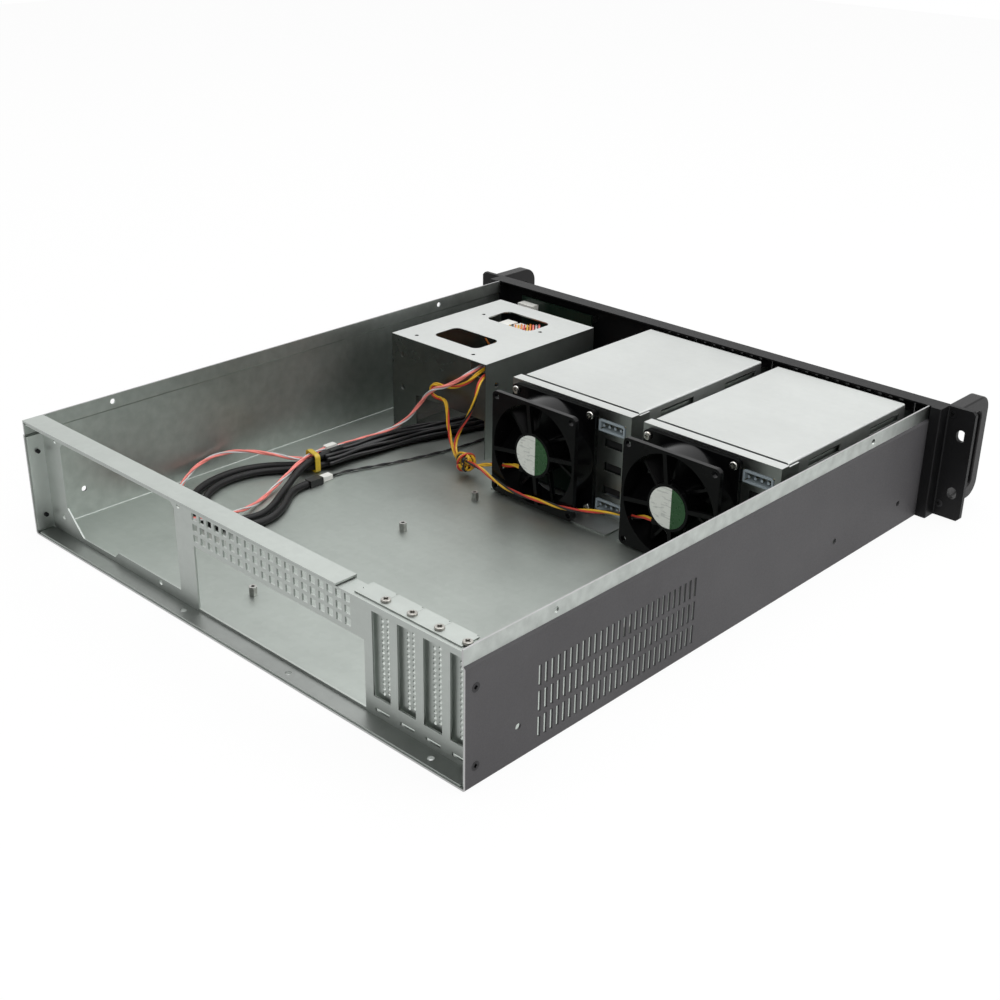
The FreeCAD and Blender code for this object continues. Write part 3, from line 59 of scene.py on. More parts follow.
# camera: angles in degrees, lens in millimetres, place in metres
CAMERA_AZIMUTH = 223.33     # round from the front
CAMERA_ELEVATION = 25.37
CAMERA_ROLL = 0.798
CAMERA_LENS = 52.06
CAMERA_X = -0.64615         # from the case's middle
CAMERA_BEHIND = 0.43625     # from its rear edge
CAMERA_HEIGHT = 0.46078     # from the frame's origin

# cords, in metres
OUTER_RADIUS = 2.8 * MM
INNER_RADIUS = 2.6 * MM
LEAD_RADIUS = 1.6 * MM
SIGNAL_RADIUS = 1.1 * MM
HARNESS_WIRE = 1.5 * MM
SLACK_WIRE = 0.85 * MM
DRIVE_WIRE = 0.9 * MM
TIE_END = 0.213     # where the loose harness wires stop, forward of the rear edge


# ---- camera -------------------------------------------------------------
def make_camera():
    """The case seen from behind, above and the card slots' side."""
    azimuth = math.radians(CAMERA_AZIMUTH)
    elevation = math.radians(CAMERA_ELEVATION)
    roll = math.radians(CAMERA_ROLL)
    back = Vector((math.sin(azimuth) * math.cos(elevation),
                   -math.cos(azimuth) * math.cos(elevation), math.sin(elevation)))
    level_right = Vector((0, 0, 1)).cross(back).normalized()
    level_up = back.cross(level_right)
    right = level_right * math.cos(roll) + level_up * math.sin(roll)
    up = level_up * math.cos(roll) - level_right * math.sin(roll)
    data = bpy.data.cameras.new("camera")
    data.sensor_width = 36.0
    data.lens = CAMERA_LENS
    data.clip_start = 0.01
    data.clip_end = 50.0
    camera = bpy.data.objects.new("camera", data)
    bpy.context.scene.collection.objects.link(camera)
    place = Vector((CAMERA_X, REAR_Y + CAMERA_BEHIND, CAMERA_HEIGHT))
    turn = Matrix((right, up, back)).transposed().to_4x4()
    camera.matrix_world = Matrix.Translation(place) @ turn
    bpy.context.scene.camera = camera


# ---- node helpers -------------------------------------------------------
class Shader:
    """A material under construction, with short calls for its nodes."""

    def __init__(self, name):
        self.material = bpy.data.materials.new(name)
        self.material.use_nodes = True
        self.tree = self.material.node_tree
        self.principled = self.tree.nodes["Principled BSDF"]
        self.position = self.add("ShaderNodeTexCoord").outputs["Object"]

    def add(self, kind, **settings):
        node = self.tree.nodes.new(kind)
        for key, value in settings.items():
            setattr(node, key, value)
        return node

    def link(self, output, target):
        self.tree.links.new(output, target)

    def fill(self, node, values):
        """Link or set inputs, each by its name or number."""
        for key, value in values.items():
            if isinstance(value, bpy.types.NodeSocket):
                self.link(value, node.inputs[key])
            else:
                node.inputs[key].default_value = value

    def set(self, **values):
        self.fill(self.principled, {k.replace("_", " "): v for k, v in values.items()})

    def noise(self, scale, detail=3.0, rough=0.5, vector=None):
        node = self.add("ShaderNodeTexNoise")
        self.fill(node, {"Scale": scale, "Detail": detail, "Roughness": rough,
                         "Vector": vector or self.position})
        return node.outputs["Fac"]

    def cells(self, scale):
        node = self.add("ShaderNodeTexVoronoi")
        self.fill(node, {"Scale": scale, "Vector": self.position})
        return node.outputs["Color"]

    def stretch(self, x, y, z):
        node = self.add("ShaderNodeMapping")
        self.fill(node, {"Vector": self.position, "Scale": (x, y, z)})
        return node.outputs["Vector"]

    def ramp(self, value, low, high, out_low, out_high):
        node = self.add("ShaderNodeMapRange")
        self.fill(node, {"Value": value, "From Min": low, "From Max": high,
                         "To Min": out_low, "To Max": out_high})
        return node.outputs["Result"]

    def mix(self, factor, first, second):
        node = self.add("ShaderNodeMix", data_type="RGBA")
        self.fill(node, {0: factor, 6: first, 7: second})
        return node.outputs[2]

    def math(self, operation, a, b=0.0):
        node = self.add("ShaderNodeMath", operation=operation)
        self.fill(node, {0: a, 1: b})
        return node.outputs[0]

    def bump(self, height, strength, distance):
        node = self.add("ShaderNodeBump")
        self.fill(node, {"Height": height, "Strength": strength, "Distance": distance})
        self.link(node.outputs["Normal"], self.principled.inputs["Normal"])


def grey(value, tint=0.0):
    """A grey, or one that leans a little to green."""
    return (value * (1.0 - tint), value, value * (1.0 - tint * 0.8), 1.0)


# ---- materials ----------------------------------------------------------
def zinc(name, low, high, roughness, spangle=0.12, streak=0.2):
    """Bare zinc-coated sheet: fine faint flakes, soft rolling streaks and handling smears."""
    s = Shader(name)
    flakes = s.cells(240.0)
    streaks = s.noise(6.0, 3.0, 0.5, s.stretch(1.0, 22.0, 22.0))
    clouds = s.noise(9.0, 5.0, 0.62)
    tone = s.math("ADD", s.math("MULTIPLY", flakes, spangle),
                  s.math("MULTIPLY", clouds, 1.0 - streak - spangle))
    tone = s.math("ADD", tone, s.math("MULTIPLY", streaks, streak))
    s.set(Base_Color=s.mix(s.ramp(tone, 0.3, 0.7, 0.0, 1.0), low, high),
          Metallic=1.0,
          Roughness=s.ramp(clouds, 0.3, 0.7, roughness - 0.04, roughness + 0.05))
    s.bump(s.noise(1100.0, 2.0), 0.06, 0.0001)
    return s.material


def painted(name, low, high, roughness, shine=0.4):
    """Fine-textured powder coat with faint scuffs."""
    s = Shader(name)
    grain = s.noise(1400.0, 2.0, 0.6)
    clouds = s.noise(11.0, 4.0, 0.6)
    s.set(Base_Color=s.mix(s.ramp(clouds, 0.3, 0.7, 0.0, 1.0), low, high),
          Roughness=s.ramp(grain, 0.3, 0.7, roughness - 0.06, roughness + 0.08))
    s.principled.inputs["Specular IOR Level"].default_value = shine
    s.bump(grain, 0.22, 0.0002)
    return s.material


def moulded(name, low, high, roughness):
    """Moulded plastic with a light spark finish."""
    s = Shader(name)
    grain = s.noise(700.0, 2.0)
    s.set(Base_Color=s.mix(s.noise(30.0, 3.0), low, high),
          Roughness=s.ramp(grain, 0.3, 0.7, roughness - 0.05, roughness + 0.06))
    s.bump(grain, 0.12, 0.0002)
    return s.material


def plated(name, colour, dark, roughness):
    """Plated screws, pins and posts, with small stains."""
    s = Shader(name)
    stains = s.noise(260.0, 3.0)
    s.set(Base_Color=s.mix(s.ramp(stains, 0.45, 0.7, 0.0, 1.0), colour, dark), Metallic=1.0,
          Roughness=s.ramp(stains, 0.3, 0.7, roughness - 0.05, roughness + 0.1))
    return s.material


def circuit_board():
    """Dark solder mask with a faint pattern of tracks."""
    s = Shader("board_mask")
    tracks = s.add("ShaderNodeTexBrick", offset=0.5)
    s.fill(tracks, {"Vector": s.position, "Scale": 160.0, "Mortar Size": 0.04,
                    "Color1": (0.003, 0.010, 0.006, 1), "Color2": (0.004, 0.013, 0.008, 1),
                    "Mortar": (0.007, 0.02, 0.011, 1)})
    s.set(Base_Color=tracks.outputs["Color"], Roughness=s.ramp(s.noise(60.0), 0.3, 0.7, 0.3, 0.45))
    return s.material


def fan_label():
    """Film label: white on the power supply's side, green on the card side."""
    green_edge = 3 * MM
    label_radius = 20 * MM
    s = Shader("label_film")
    split = s.add("ShaderNodeSeparateXYZ")
    s.link(s.position, split.inputs[0])
    x = split.outputs["X"]
    green_parts = []
    for node in ("fan_frame_left", "fan_frame_centre"):
        low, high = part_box(node)
        middle = (low.x + high.x) / 2
        inside = s.math("MULTIPLY", s.math("LESS_THAN", x, middle - green_edge),
                        s.math("GREATER_THAN", x, middle - label_radius))
        green_parts.append(inside)
    is_green = s.math("MAXIMUM", *green_parts)
    bars = s.math("GREATER_THAN", s.noise(420.0, 0.0, 0.5, s.stretch(0.35, 1.0, 1.6)), 0.62)
    white = s.mix(s.math("MULTIPLY", bars, 0.35), (0.74, 0.76, 0.71, 1), (0.3, 0.32, 0.31, 1))
    green = s.mix(s.noise(120.0), (0.02, 0.07, 0.024, 1), (0.03, 0.10, 0.034, 1))
    s.set(Base_Color=s.mix(is_green, white, green),
          Roughness=s.ramp(s.noise(200.0), 0.3, 0.7, 0.22, 0.34))
    return s.material


def insulation(name, low, high):
    s = Shader(name)
    s.set(Base_Color=s.mix(s.noise(300.0), low, high),
          Roughness=s.ramp(s.noise(700.0), 0.3, 0.7, 0.3, 0.45))
    return s.material


def woven_sleeve():
    """Braided sleeve: two crossing sets of strands laid out along the tube's own UV."""
    s = Shader("woven_sleeve")
    uv = s.add("ShaderNodeTexCoord").outputs["UV"]
    waves = []
    for slant in (1.0, -1.0):
        turned = s.add("ShaderNodeMapping")
        s.fill(turned, {"Vector": uv, "Rotation": (0, 0, slant * math.radians(42))})
        wave = s.add("ShaderNodeTexWave", wave_type="BANDS", bands_direction="X")
        s.fill(wave, {"Vector": turned.outputs["Vector"], "Scale": 420.0})
        waves.append(wave.outputs["Fac"])
    weave = s.math("MAXIMUM", *waves)
    s.set(Base_Color=s.mix(weave, (0.0015, 0.0015, 0.0018, 1), (0.006, 0.006, 0.0064, 1)),
          Roughness=s.ramp(weave, 0.0, 1.0, 0.62, 0.4))
    s.principled.inputs["Specular IOR Level"].default_value = 0.35
    s.bump(weave, 0.35, 0.0003)
    return s.material


def fan_plastic():
    """Glossy black moulding whose blades hardly show."""
    s = Shader("fan_moulding")
    s.set(Base_Color=s.mix(s.noise(40.0, 3.0), (0.0015, 0.0015, 0.0017, 1),
                           (0.0035, 0.0035, 0.0038, 1)),
          Roughness=s.ramp(s.noise(60.0, 2.0), 0.3, 0.7, 0.2, 0.28))
    s.principled.inputs["Specular IOR Level"].default_value = 0.22
    return s.material


MATERIALS = {
    "zinc": zinc("zinc_sheet", grey(0.38, 0.075), grey(0.46, 0.075), 0.45),
    "zinc_wall": zinc("zinc_wall_sheet", grey(0.40, 0.06), grey(0.56, 0.06), 0.42, 0.05, 0.5),
    "zinc_panel": zinc("zinc_rear_sheet", grey(0.45, 0.06), grey(0.52, 0.06), 0.5),
    # Brighter copy for the rear panel's flanges on the walls: painted highlight.
    "zinc_side_highlight": zinc("zinc_side_highlight_flange", grey(0.70, 0.05), grey(0.78, 0.05), 0.45),
    # Darker copy for the rear panel's flange on the floor: painted shade.
    "zinc_strip_shade": zinc("zinc_strip_shade_sheet", grey(0.28, 0.05), grey(0.36, 0.05), 0.4),
    # Lighter copy for faces turned up to the light: painted light.
    "zinc_painted_light": zinc("zinc_painted_light_sheet", grey(0.58, 0.03), grey(0.64, 0.03), 0.44),
    "zinc_lip": zinc("zinc_lip_sheet", grey(0.40, 0.06), grey(0.60, 0.06), 0.36, 0.04, 0.6),
    "zinc_cage": zinc("zinc_cage_sheet", grey(0.40, 0.05), grey(0.47, 0.05), 0.3),
    # Darker copy for the fixed cage's rear and front faces: painted shade.
    "zinc_shaded": zinc("zinc_shaded_sheet", grey(0.17, 0.05), grey(0.25, 0.05), 0.26),
    "zinc_edge": zinc("cut_edge", grey(0.40), grey(0.5), 0.4),
    "paint": painted("charcoal_coat", (0.046, 0.044, 0.047, 1), (0.060, 0.058, 0.061, 1), 0.56),
    "panel_paint": painted("black_coat", (0.0045, 0.0045, 0.005, 1), (0.008, 0.008, 0.0085, 1),
                           0.42, 0.16),
    "handle_paint": painted("handle_coat", (0.006, 0.0055, 0.006, 1), (0.010, 0.0095, 0.010, 1),
                            0.36, 0.2),
    "black_plastic": moulded("black_moulding", (0.006, 0.006, 0.0065, 1), (0.012, 0.012, 0.013, 1),
                             0.36),
    "white_plastic": moulded("ivory_moulding", (0.68, 0.68, 0.64, 1), (0.8, 0.8, 0.76, 1), 0.4),
    "light_plastic": moulded("clear_light_guide", (0.5, 0.56, 0.53, 1), (0.6, 0.66, 0.62, 1), 0.25),
    "tie_plastic": insulation("tie_nylon", (0.50, 0.34, 0.02, 1), (0.62, 0.44, 0.03, 1)),
    "dark_tie": insulation("dark_tie_nylon", (0.01, 0.01, 0.012, 1), (0.02, 0.02, 0.024, 1)),
    "bright": plated("bright_plate", (0.78, 0.77, 0.73, 1), (0.6, 0.56, 0.5, 1), 0.22),
    "post": plated("post_plate", (0.5, 0.5, 0.48, 1), (0.36, 0.35, 0.33, 1), 0.36),
    "dark_screw": plated("dark_plate", (0.05, 0.05, 0.052, 1), (0.03, 0.03, 0.03, 1), 0.4),
    "socket_plastic": moulded("socket_moulding", (0.26, 0.31, 0.34, 1), (0.34, 0.39, 0.42, 1), 0.4),
    "slot_screw": plated("slot_screw_plate", (0.44, 0.43, 0.40, 1), (0.30, 0.29, 0.26, 1), 0.36),
    "gold": plated("pin_plate", (0.72, 0.66, 0.48, 1), (0.55, 0.48, 0.33, 1), 0.25),
    "board": circuit_board(),
    "label": fan_label(),
    "fan_black": fan_plastic(),
    "sleeve": woven_sleeve(),
    "yellow": insulation("yellow_wire", (0.55, 0.31, 0.012, 1), (0.70, 0.42, 0.02, 1)),
    "red": insulation("red_wire", (0.42, 0.03, 0.02, 1), (0.55, 0.05, 0.03, 1)),
    "orange": insulation("orange_wire", (0.62, 0.17, 0.02, 1), (0.75, 0.24, 0.03, 1)),
    "pink": insulation("pink_wire", (0.78, 0.20, 0.17, 1), (0.86, 0.27, 0.23, 1)),
    "pale": insulation("pale_wire", (0.5, 0.5, 0.5, 1), (0.62, 0.62, 0.62, 1)),
    "black": insulation("black_wire", (0.008, 0.008, 0.009, 1), (0.014, 0.014, 0.015, 1)),
}


# ---- finishes on the solids ---------------------------------------------
def paint_faces(node, rule, names):
    """Give each face the material that rule names from its centre and normal, in millimetres."""
    mesh = NODES[node].data
    mesh.materials.clear()
    order = {}
    for name in names:
        order[name] = len(mesh.materials)
        mesh.materials.append(MATERIALS[name])
    for face in mesh.polygons:
        face.material_index = order[rule(face.center / MM, face.normal)]


def coat(node, name):
    """One material all over."""
    paint_faces(node, lambda centre, normal: name, (name,))


def finish_tray():
    """Charcoal outside up to the step, bare zinc inside, bright lips and cut ends."""
    low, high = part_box("chassis_tray")
    half = high.x / MM
    step_top = 76.0         # painted up to here
    under_bend = 2.5
    sheet = 1.15
    bend = 2.2
    lip_top = high.z / MM - 0.1
    rear = high.y / MM - 0.05

    def rule(centre, normal):
        outward = normal.x * math.copysign(1.0, centre.x)
        if normal.z < -0.3 and centre.z < under_bend:
            return "paint"
        if centre.y > rear and normal.y > 0.9:
            return "zinc_edge"
        if outward > 0.25 and abs(centre.x) > half - bend and centre.z < step_top:
            return "paint"
        if abs(centre.x) > half - sheet and centre.z < step_top and abs(outward) < 0.9:
            return "paint"
        if centre.z > step_top - 0.5 and outward > -0.5:
            return "zinc_edge" if normal.z > 0.9 and centre.z > lip_top else "zinc_lip"
        # The floor takes the darker zinc and the side walls a lighter, more streaked one: the streaks
        # are the sheet's own, the floor's darker tone is painted shade.
        return "zinc_wall" if abs(normal.x) > 0.9 else "zinc"

    paint_faces("chassis_tray", rule, ("paint", "zinc", "zinc_wall", "zinc_lip", "zinc_edge"))


def finish_sockets():
    """Pale shrouds with bright pins."""
    nearest = 1.4       # the pins end between these depths inside the mouth
    farthest = 2.6
    mouth = max(v.co.y for v in NODES["power_sockets"].data.vertices) / MM

    def rule(centre, normal):
        radial = abs(normal.x) > 0.02 and abs(normal.z) > 0.02
        pin_end = normal.y > 0.9 and nearest < mouth - centre.y < farthest
        return "gold" if radial or pin_end else "socket_plastic"

    paint_faces("power_sockets", rule, ("socket_plastic", "gold"))


def finish_trays():
    """Steel sled with a black moulded front."""
    moulded_depth = 13.0
    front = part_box("tray_centre_1")[0].y / MM
    for node in NODES:
        if node.startswith("tray_centre") or node.startswith("tray_left"):
            paint_faces(node, lambda c, n: "black_plastic" if c.y < front + moulded_depth else "zinc",
                        ("zinc", "black_plastic"))


def finish_folded_parts():
    """Tops of the folded sheets catch more light than their sides, so they take a lighter zinc:
    painted light.
    """
    for node in ("fan_bracket_centre", "fan_bracket_left"):
        paint_faces(node, lambda c, n: "zinc_painted_light" if abs(n.z) > 0.7 else "zinc_cage",
                    ("zinc_painted_light", "zinc_cage"))

    def rule(centre, normal):
        if abs(normal.z) > 0.7:
            return "zinc_painted_light"
        # Faces turned to the rear or front take a darker zinc: painted shade.
        return "zinc_shaded" if abs(normal.y) > 0.7 else "zinc_cage"

    paint_faces("fixed_drive_cage", rule, ("zinc_painted_light", "zinc_cage", "zinc_shaded"))


def finish_rear_panel():
    """The flange on the floor takes a darker zinc than the face, as painted shade; those on the walls
    take a brighter one, as painted highlight.
    """
    flange_top = 2.5
    wall_side = 205.0

    def rule(centre, normal):
        if centre.z < flange_top and normal.z > 0.5:
            return "zinc_strip_shade"
        on_wall = abs(normal.x) > 0.9 and abs(centre.x) > wall_side
        return "zinc_side_highlight" if on_wall else "zinc_panel"

    paint_faces("rear_panel", rule, ("zinc_panel", "zinc_strip_shade", "zinc_side_highlight"))


def finish_boards():
    for node in ("backplane_centre", "backplane_left", "control_board"):
        coat(node, "board")
    coat("data_ports", "black_plastic")
    plug_height = 8.5
    plug_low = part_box("board_parts")[1].z / MM - plug_height
    paint_faces("board_parts", lambda c, n: "white_plastic" if c.z > plug_low else "black_plastic",
                ("black_plastic", "white_plastic"))


def finish_ties():
    tie_side = 100.0
    paint_faces("cable_ties", lambda c, n: "tie_plastic" if c.x > tie_side else "dark_tie",
                ("tie_plastic", "dark_tie"))


def finish_solids():
    finish_tray()
    finish_sockets()
    finish_trays()
    finish_boards()
    finish_ties()
    finish_folded_parts()
    finish_rear_panel()
    plain = {
        "zinc": ("tray_rails_centre", "tray_rails_left"),
        "zinc_panel": ("slot_covers", "rear_beam"),
        # The drive cages take the lighter zinc copy that stands for their lit tops: painted light.
        "zinc_painted_light": ("drive_cage_centre", "drive_cage_left"),
        "panel_paint": ("front_panel", "left_ear", "right_ear"),
        "handle_paint": ("left_handle", "right_handle"),
        "dark_screw": ("handle_screws", "panel_side_screws"),
        "slot_screw": ("slot_screws",),
        "bright": ("ear_screws", "fan_screws", "usb_ports"),
        "post": ("board_standoffs", "board_spacers"),
        "fan_black": ("fan_frame_centre", "fan_frame_left", "fan_rotor_centre", "fan_rotor_left"),
        "black_plastic": ("power_button", "reset_button", "black_plugs"),
        "white_plastic": ("white_plugs",),
        "light_plastic": ("status_lights",),
        "label": ("fan_labels",),
    }
    for name, nodes in plain.items():
        for node in nodes:
            coat(node, name)
    for node in NODES:
        if node.startswith("tray_lever"):
            coat(node, "black_plastic")
        if node != "fan_labels":
            soften_edges(NODES[node])


def soften_edges(obj):
    """Smooth shading on curved faces, crisp along the folds."""
    for face in obj.data.polygons:
        face.use_smooth = True
    split = obj.modifiers.new("sharp_folds", "EDGE_SPLIT")
    split.split_angle = math.radians(32)


# ---- cords --------------------------------------------------------------
# Route points in metres: (x, distance forward of the rear edge, z).
OUTER_ROUTE = (
    (0.1310, 0.3800, 0.0042), (0.1310, 0.3600, 0.0042), (0.1380, 0.3370, 0.0041),
    (0.1455, 0.3130, 0.0042), (0.1515, 0.2890, 0.0041), (0.1555, 0.2650, 0.0042),
    (0.1572, 0.2430, 0.0043), (0.1584, 0.2240, 0.0051), (0.1597, 0.2066, 0.0057),
    (0.1690, 0.1955, 0.0048), (0.1795, 0.1870, 0.0042), (0.1875, 0.1745, 0.0041),
    (0.1920, 0.1605, 0.0042), (0.1930, 0.1455, 0.0041), (0.1900, 0.1285, 0.0042),
    (0.1820, 0.1125, 0.0041), (0.1690, 0.0995, 0.0042), (0.1525, 0.0915, 0.0041),
    (0.1345, 0.0905, 0.0042), (0.1185, 0.0970, 0.0041), (0.1090, 0.1105, 0.0042),
    (0.1090, 0.1270, 0.0041), (0.1160, 0.1420, 0.0042), (0.1248, 0.1530, 0.0041),
    (0.1320, 0.1625, 0.0042), (0.1360, 0.1725, 0.0042), (0.1360, 0.1825, 0.0042))
INNER_ROUTE = (
    (0.1245, 0.3800, 0.0040), (0.1245, 0.3610, 0.0040), (0.1310, 0.3365, 0.0039),
    (0.1385, 0.3120, 0.0040), (0.1445, 0.2880, 0.0039), (0.1490, 0.2645, 0.0040),
    (0.1512, 0.2430, 0.0041), (0.1524, 0.2235, 0.0050), (0.1543, 0.2054, 0.0055),
    (0.1620, 0.1925, 0.0046), (0.1715, 0.1825, 0.0040), (0.1790, 0.1705, 0.0039),
    (0.1830, 0.1570, 0.0040), (0.1835, 0.1425, 0.0039), (0.1800, 0.1275, 0.0040),
    (0.1715, 0.1145, 0.0039), (0.1595, 0.1050, 0.0040), (0.1450, 0.1005, 0.0039),
    (0.1305, 0.1030, 0.0040), (0.1205, 0.1130, 0.0039), (0.1190, 0.1270, 0.0040),
    (0.1250, 0.1405, 0.0039), (0.1335, 0.1530, 0.0041), (0.1415, 0.1665, 0.0048),
    (0.1485, 0.1800, 0.0073), (0.1540, 0.1935, 0.0103), (0.1564, 0.2085, 0.0112),
    (0.1564, 0.2210, 0.0112))
PINK_ROUTE = (
    (0.1240, 0.3800, 0.0610), (0.1240, 0.3680, 0.0610), (0.1120, 0.3515, 0.0660),
    (0.0995, 0.3380, 0.0715), (0.0915, 0.3255, 0.0750), (0.0898, 0.3145, 0.0735),
    (0.0950, 0.3060, 0.0680), (0.1030, 0.3025, 0.0615), (0.1120, 0.3008, 0.0565),
    (0.1210, 0.3004, 0.0530), (0.1290, 0.3002, 0.0465), (0.1355, 0.2995, 0.0380),
    (0.1410, 0.2970, 0.0290), (0.1465, 0.2920, 0.0210), (0.1525, 0.2840, 0.0150),
    (0.1585, 0.2725, 0.0112), (0.1640, 0.2590, 0.0093), (0.1672, 0.2445, 0.0086),
    (0.1676, 0.2300, 0.0088), (0.1654, 0.2190, 0.0095), (0.1620, 0.2106, 0.0098),
    (0.1624, 0.2029, 0.0099), (0.1694, 0.1948, 0.0108), (0.1806, 0.1876, 0.0126),
    (0.1910, 0.1792, 0.0142), (0.2005, 0.1695, 0.0151), (0.2070, 0.1575, 0.0152),
    (0.2080, 0.1435, 0.0143), (0.2050, 0.1300, 0.0124), (0.1995, 0.1175, 0.0094),
    (0.1920, 0.1060, 0.0064), (0.1820, 0.0955, 0.0042), (0.1685, 0.0865, 0.0034),
    (0.1535, 0.0815, 0.0048), (0.1390, 0.0825, 0.0078), (0.1295, 0.0910, 0.0099),
    (0.1264, 0.1035, 0.0096), (0.1302, 0.1155, 0.0066), (0.1350, 0.1285, 0.0039),
    (0.1400, 0.1420, 0.0033), (0.1465, 0.1555, 0.0039), (0.1518, 0.1690, 0.0058),
    (0.1553, 0.1820, 0.0090), (0.1592, 0.1950, 0.0122), (0.1616, 0.2085, 0.0133),
    (0.1616, 0.2210, 0.0133))
LEFT_LEAD_ROUTE = (
    (0.1070, 0.3800, 0.0580), (0.1070, 0.3690, 0.0580), (0.0975, 0.3545, 0.0625),
    (0.0885, 0.3420, 0.0670), (0.0836, 0.3295, 0.0705), (0.0818, 0.3170, 0.0716),
    (0.0788, 0.3070, 0.0675), (0.0760, 0.3015, 0.0595), (0.0766, 0.2980, 0.0505),
    (0.0800, 0.2955, 0.0415), (0.0848, 0.2936, 0.0325), (0.0870, 0.2906, 0.0240),
    (0.0834, 0.2862, 0.0172), (0.0754, 0.2822, 0.0146), (0.0660, 0.2790, 0.0146),
    (0.0575, 0.2760, 0.0168), (0.0495, 0.2734, 0.0184), (0.0410, 0.2726, 0.0174),
    (0.0315, 0.2728, 0.0138), (0.0205, 0.2732, 0.0106), (0.0085, 0.2734, 0.0093),
    (-0.0040, 0.2733, 0.0097), (-0.0170, 0.2734, 0.0111), (-0.0300, 0.2733, 0.0120),
    (-0.0430, 0.2736, 0.0131), (-0.0550, 0.2752, 0.0154), (-0.0670, 0.2780, 0.0182),
    (-0.0785, 0.2805, 0.0206), (-0.0895, 0.2813, 0.0221), (-0.0966, 0.2812, 0.0230),
    (-0.1028, 0.2800, 0.0254), (-0.1088, 0.2784, 0.0283), (-0.1152, 0.2784, 0.0283))
CENTRE_LEAD_ROUTE = (
    (0.1155, 0.3800, 0.0590), (0.1155, 0.3680, 0.0590), (0.1050, 0.3535, 0.0645),
    (0.0940, 0.3410, 0.0700), (0.0870, 0.3290, 0.0740), (0.0856, 0.3175, 0.0738),
    (0.0880, 0.3095, 0.0676), (0.0950, 0.3065, 0.0616), (0.1040, 0.3055, 0.0576),
    (0.1135, 0.3054, 0.0552), (0.1215, 0.3052, 0.0554), (0.1286, 0.3048, 0.0530),
    (0.1294, 0.3044, 0.0460), (0.1228, 0.3042, 0.0436), (0.1154, 0.3038, 0.0454),
    (0.1092, 0.3024, 0.0426), (0.1064, 0.3000, 0.0358), (0.1028, 0.2976, 0.0276),
    (0.0976, 0.2946, 0.0198), (0.0910, 0.2910, 0.0136), (0.0826, 0.2870, 0.0102),
    (0.0736, 0.2840, 0.0096), (0.0646, 0.2826, 0.0106), (0.0566, 0.2822, 0.0128),
    (0.0492, 0.2820, 0.0158), (0.0416, 0.2817, 0.0190), (0.0335, 0.2813, 0.0216),
    (0.0262, 0.2812, 0.0230), (0.0200, 0.2800, 0.0254), (0.0142, 0.2784, 0.0283),
    (0.0078, 0.2784, 0.0283))
SIGNAL_ROUTE = (
    (0.1080, 0.3800, 0.0026), (0.1080, 0.3630, 0.0026), (0.1060, 0.3410, 0.0025),
    (0.1075, 0.3190, 0.0026), (0.1115, 0.2980, 0.0025), (0.1165, 0.2775, 0.0026),
    (0.1225, 0.2580, 0.0025), (0.1290, 0.2395, 0.0026), (0.1350, 0.2240, 0.0026),
    (0.1375, 0.2135, 0.0026), (0.1375, 0.2055, 0.0026))


def centreline(name, route, steps=6):
    """Points along the smooth line that the route's spline makes."""
    curve = bpy.data.curves.new(name + "_line", "CURVE")
    curve.dimensions = "3D"
    curve.resolution_u = steps
    spline = curve.splines.new("NURBS")
    spline.points.add(len(route) - 1)
    for point, (x, d, z) in zip(spline.points, route):
        point.co = (x, REAR_Y - d, z, 1.0)
    spline.order_u = 3
    spline.use_endpoint_u = True
    holder = bpy.data.objects.new(name + "_line", curve)
    bpy.context.scene.collection.objects.link(holder)
    bpy.context.view_layer.update()
    mesh = bpy.data.meshes.new_from_object(holder)
    points = [v.co.copy() for v in mesh.vertices]
    bpy.data.meshes.remove(mesh)
    bpy.data.objects.remove(holder)
    bpy.data.curves.remove(curve)
    return points


def frames_along(points):
    """A direction and two steady cross directions at each point."""
    frames = []
    side = None
    for i, point in enumerate(points):
        before = points[max(i - 1, 0)]
        after = points[min(i + 1, len(points) - 1)]
        way = (after - before).normalized()
        if side is None:
            side = way.orthogonal().normalized()
        side = (side - way * side.dot(way)).normalized()
        frames.append((way, side, way.cross(side)))
    return frames


def distances(points):
    """How far along the line each point lies."""
    travelled = [0.0]
    for a, b in zip(points, points[1:]):
        travelled.append(travelled[-1] + (b - a).length)
    return travelled


def tube_rings(bm, points, radius, sides, material_index, uv_layer):
    """One round strand along points, closed at both ends."""
    rings = []
    travelled = distances(points)
    for point, (way, side, up) in zip(points, frames_along(points)):
        ring = []
        for k in range(sides):
            angle = 2 * math.pi * k / sides
            ring.append(bm.verts.new(point + (side * math.cos(angle) + up * math.sin(angle)) * radius))
        rings.append(ring)
    girth = 2 * math.pi * radius
    for i in range(len(rings) - 1):
        for k in range(sides):
            after = (k + 1) % sides
            face = bm.faces.new((rings[i][k], rings[i][after], rings[i + 1][after], rings[i + 1][k]))
            face.material_index = material_index
            face.smooth = True
            corners = ((i, k), (i, k + 1), (i + 1, k + 1), (i + 1, k))
            for loop, (along, around) in zip(face.loops, corners):
                loop[uv_layer].uv = (travelled[along], girth * around / sides)
    for ring, turned in ((rings[0], True), (rings[-1], False)):
        face = bm.faces.new(tuple(reversed(ring)) if turned else tuple(ring))
        face.material_index = material_index


def tube_object(name, tubes, sides):
    """One object of round wires: each is a material, its points and its radius."""
    mesh = bpy.data.meshes.new(name)
    bm = bmesh.new()
    uv_layer = bm.loops.layers.uv.new("UVMap")
    for index, (material, points, radius) in enumerate(tubes):
        mesh.materials.append(MATERIALS[material])
        tube_rings(bm, points, radius, sides, index, uv_layer)
    bm.to_mesh(mesh)
    bm.free()
    obj = bpy.data.objects.new(name, mesh)
    bpy.context.scene.collection.objects.link(obj)
    return obj


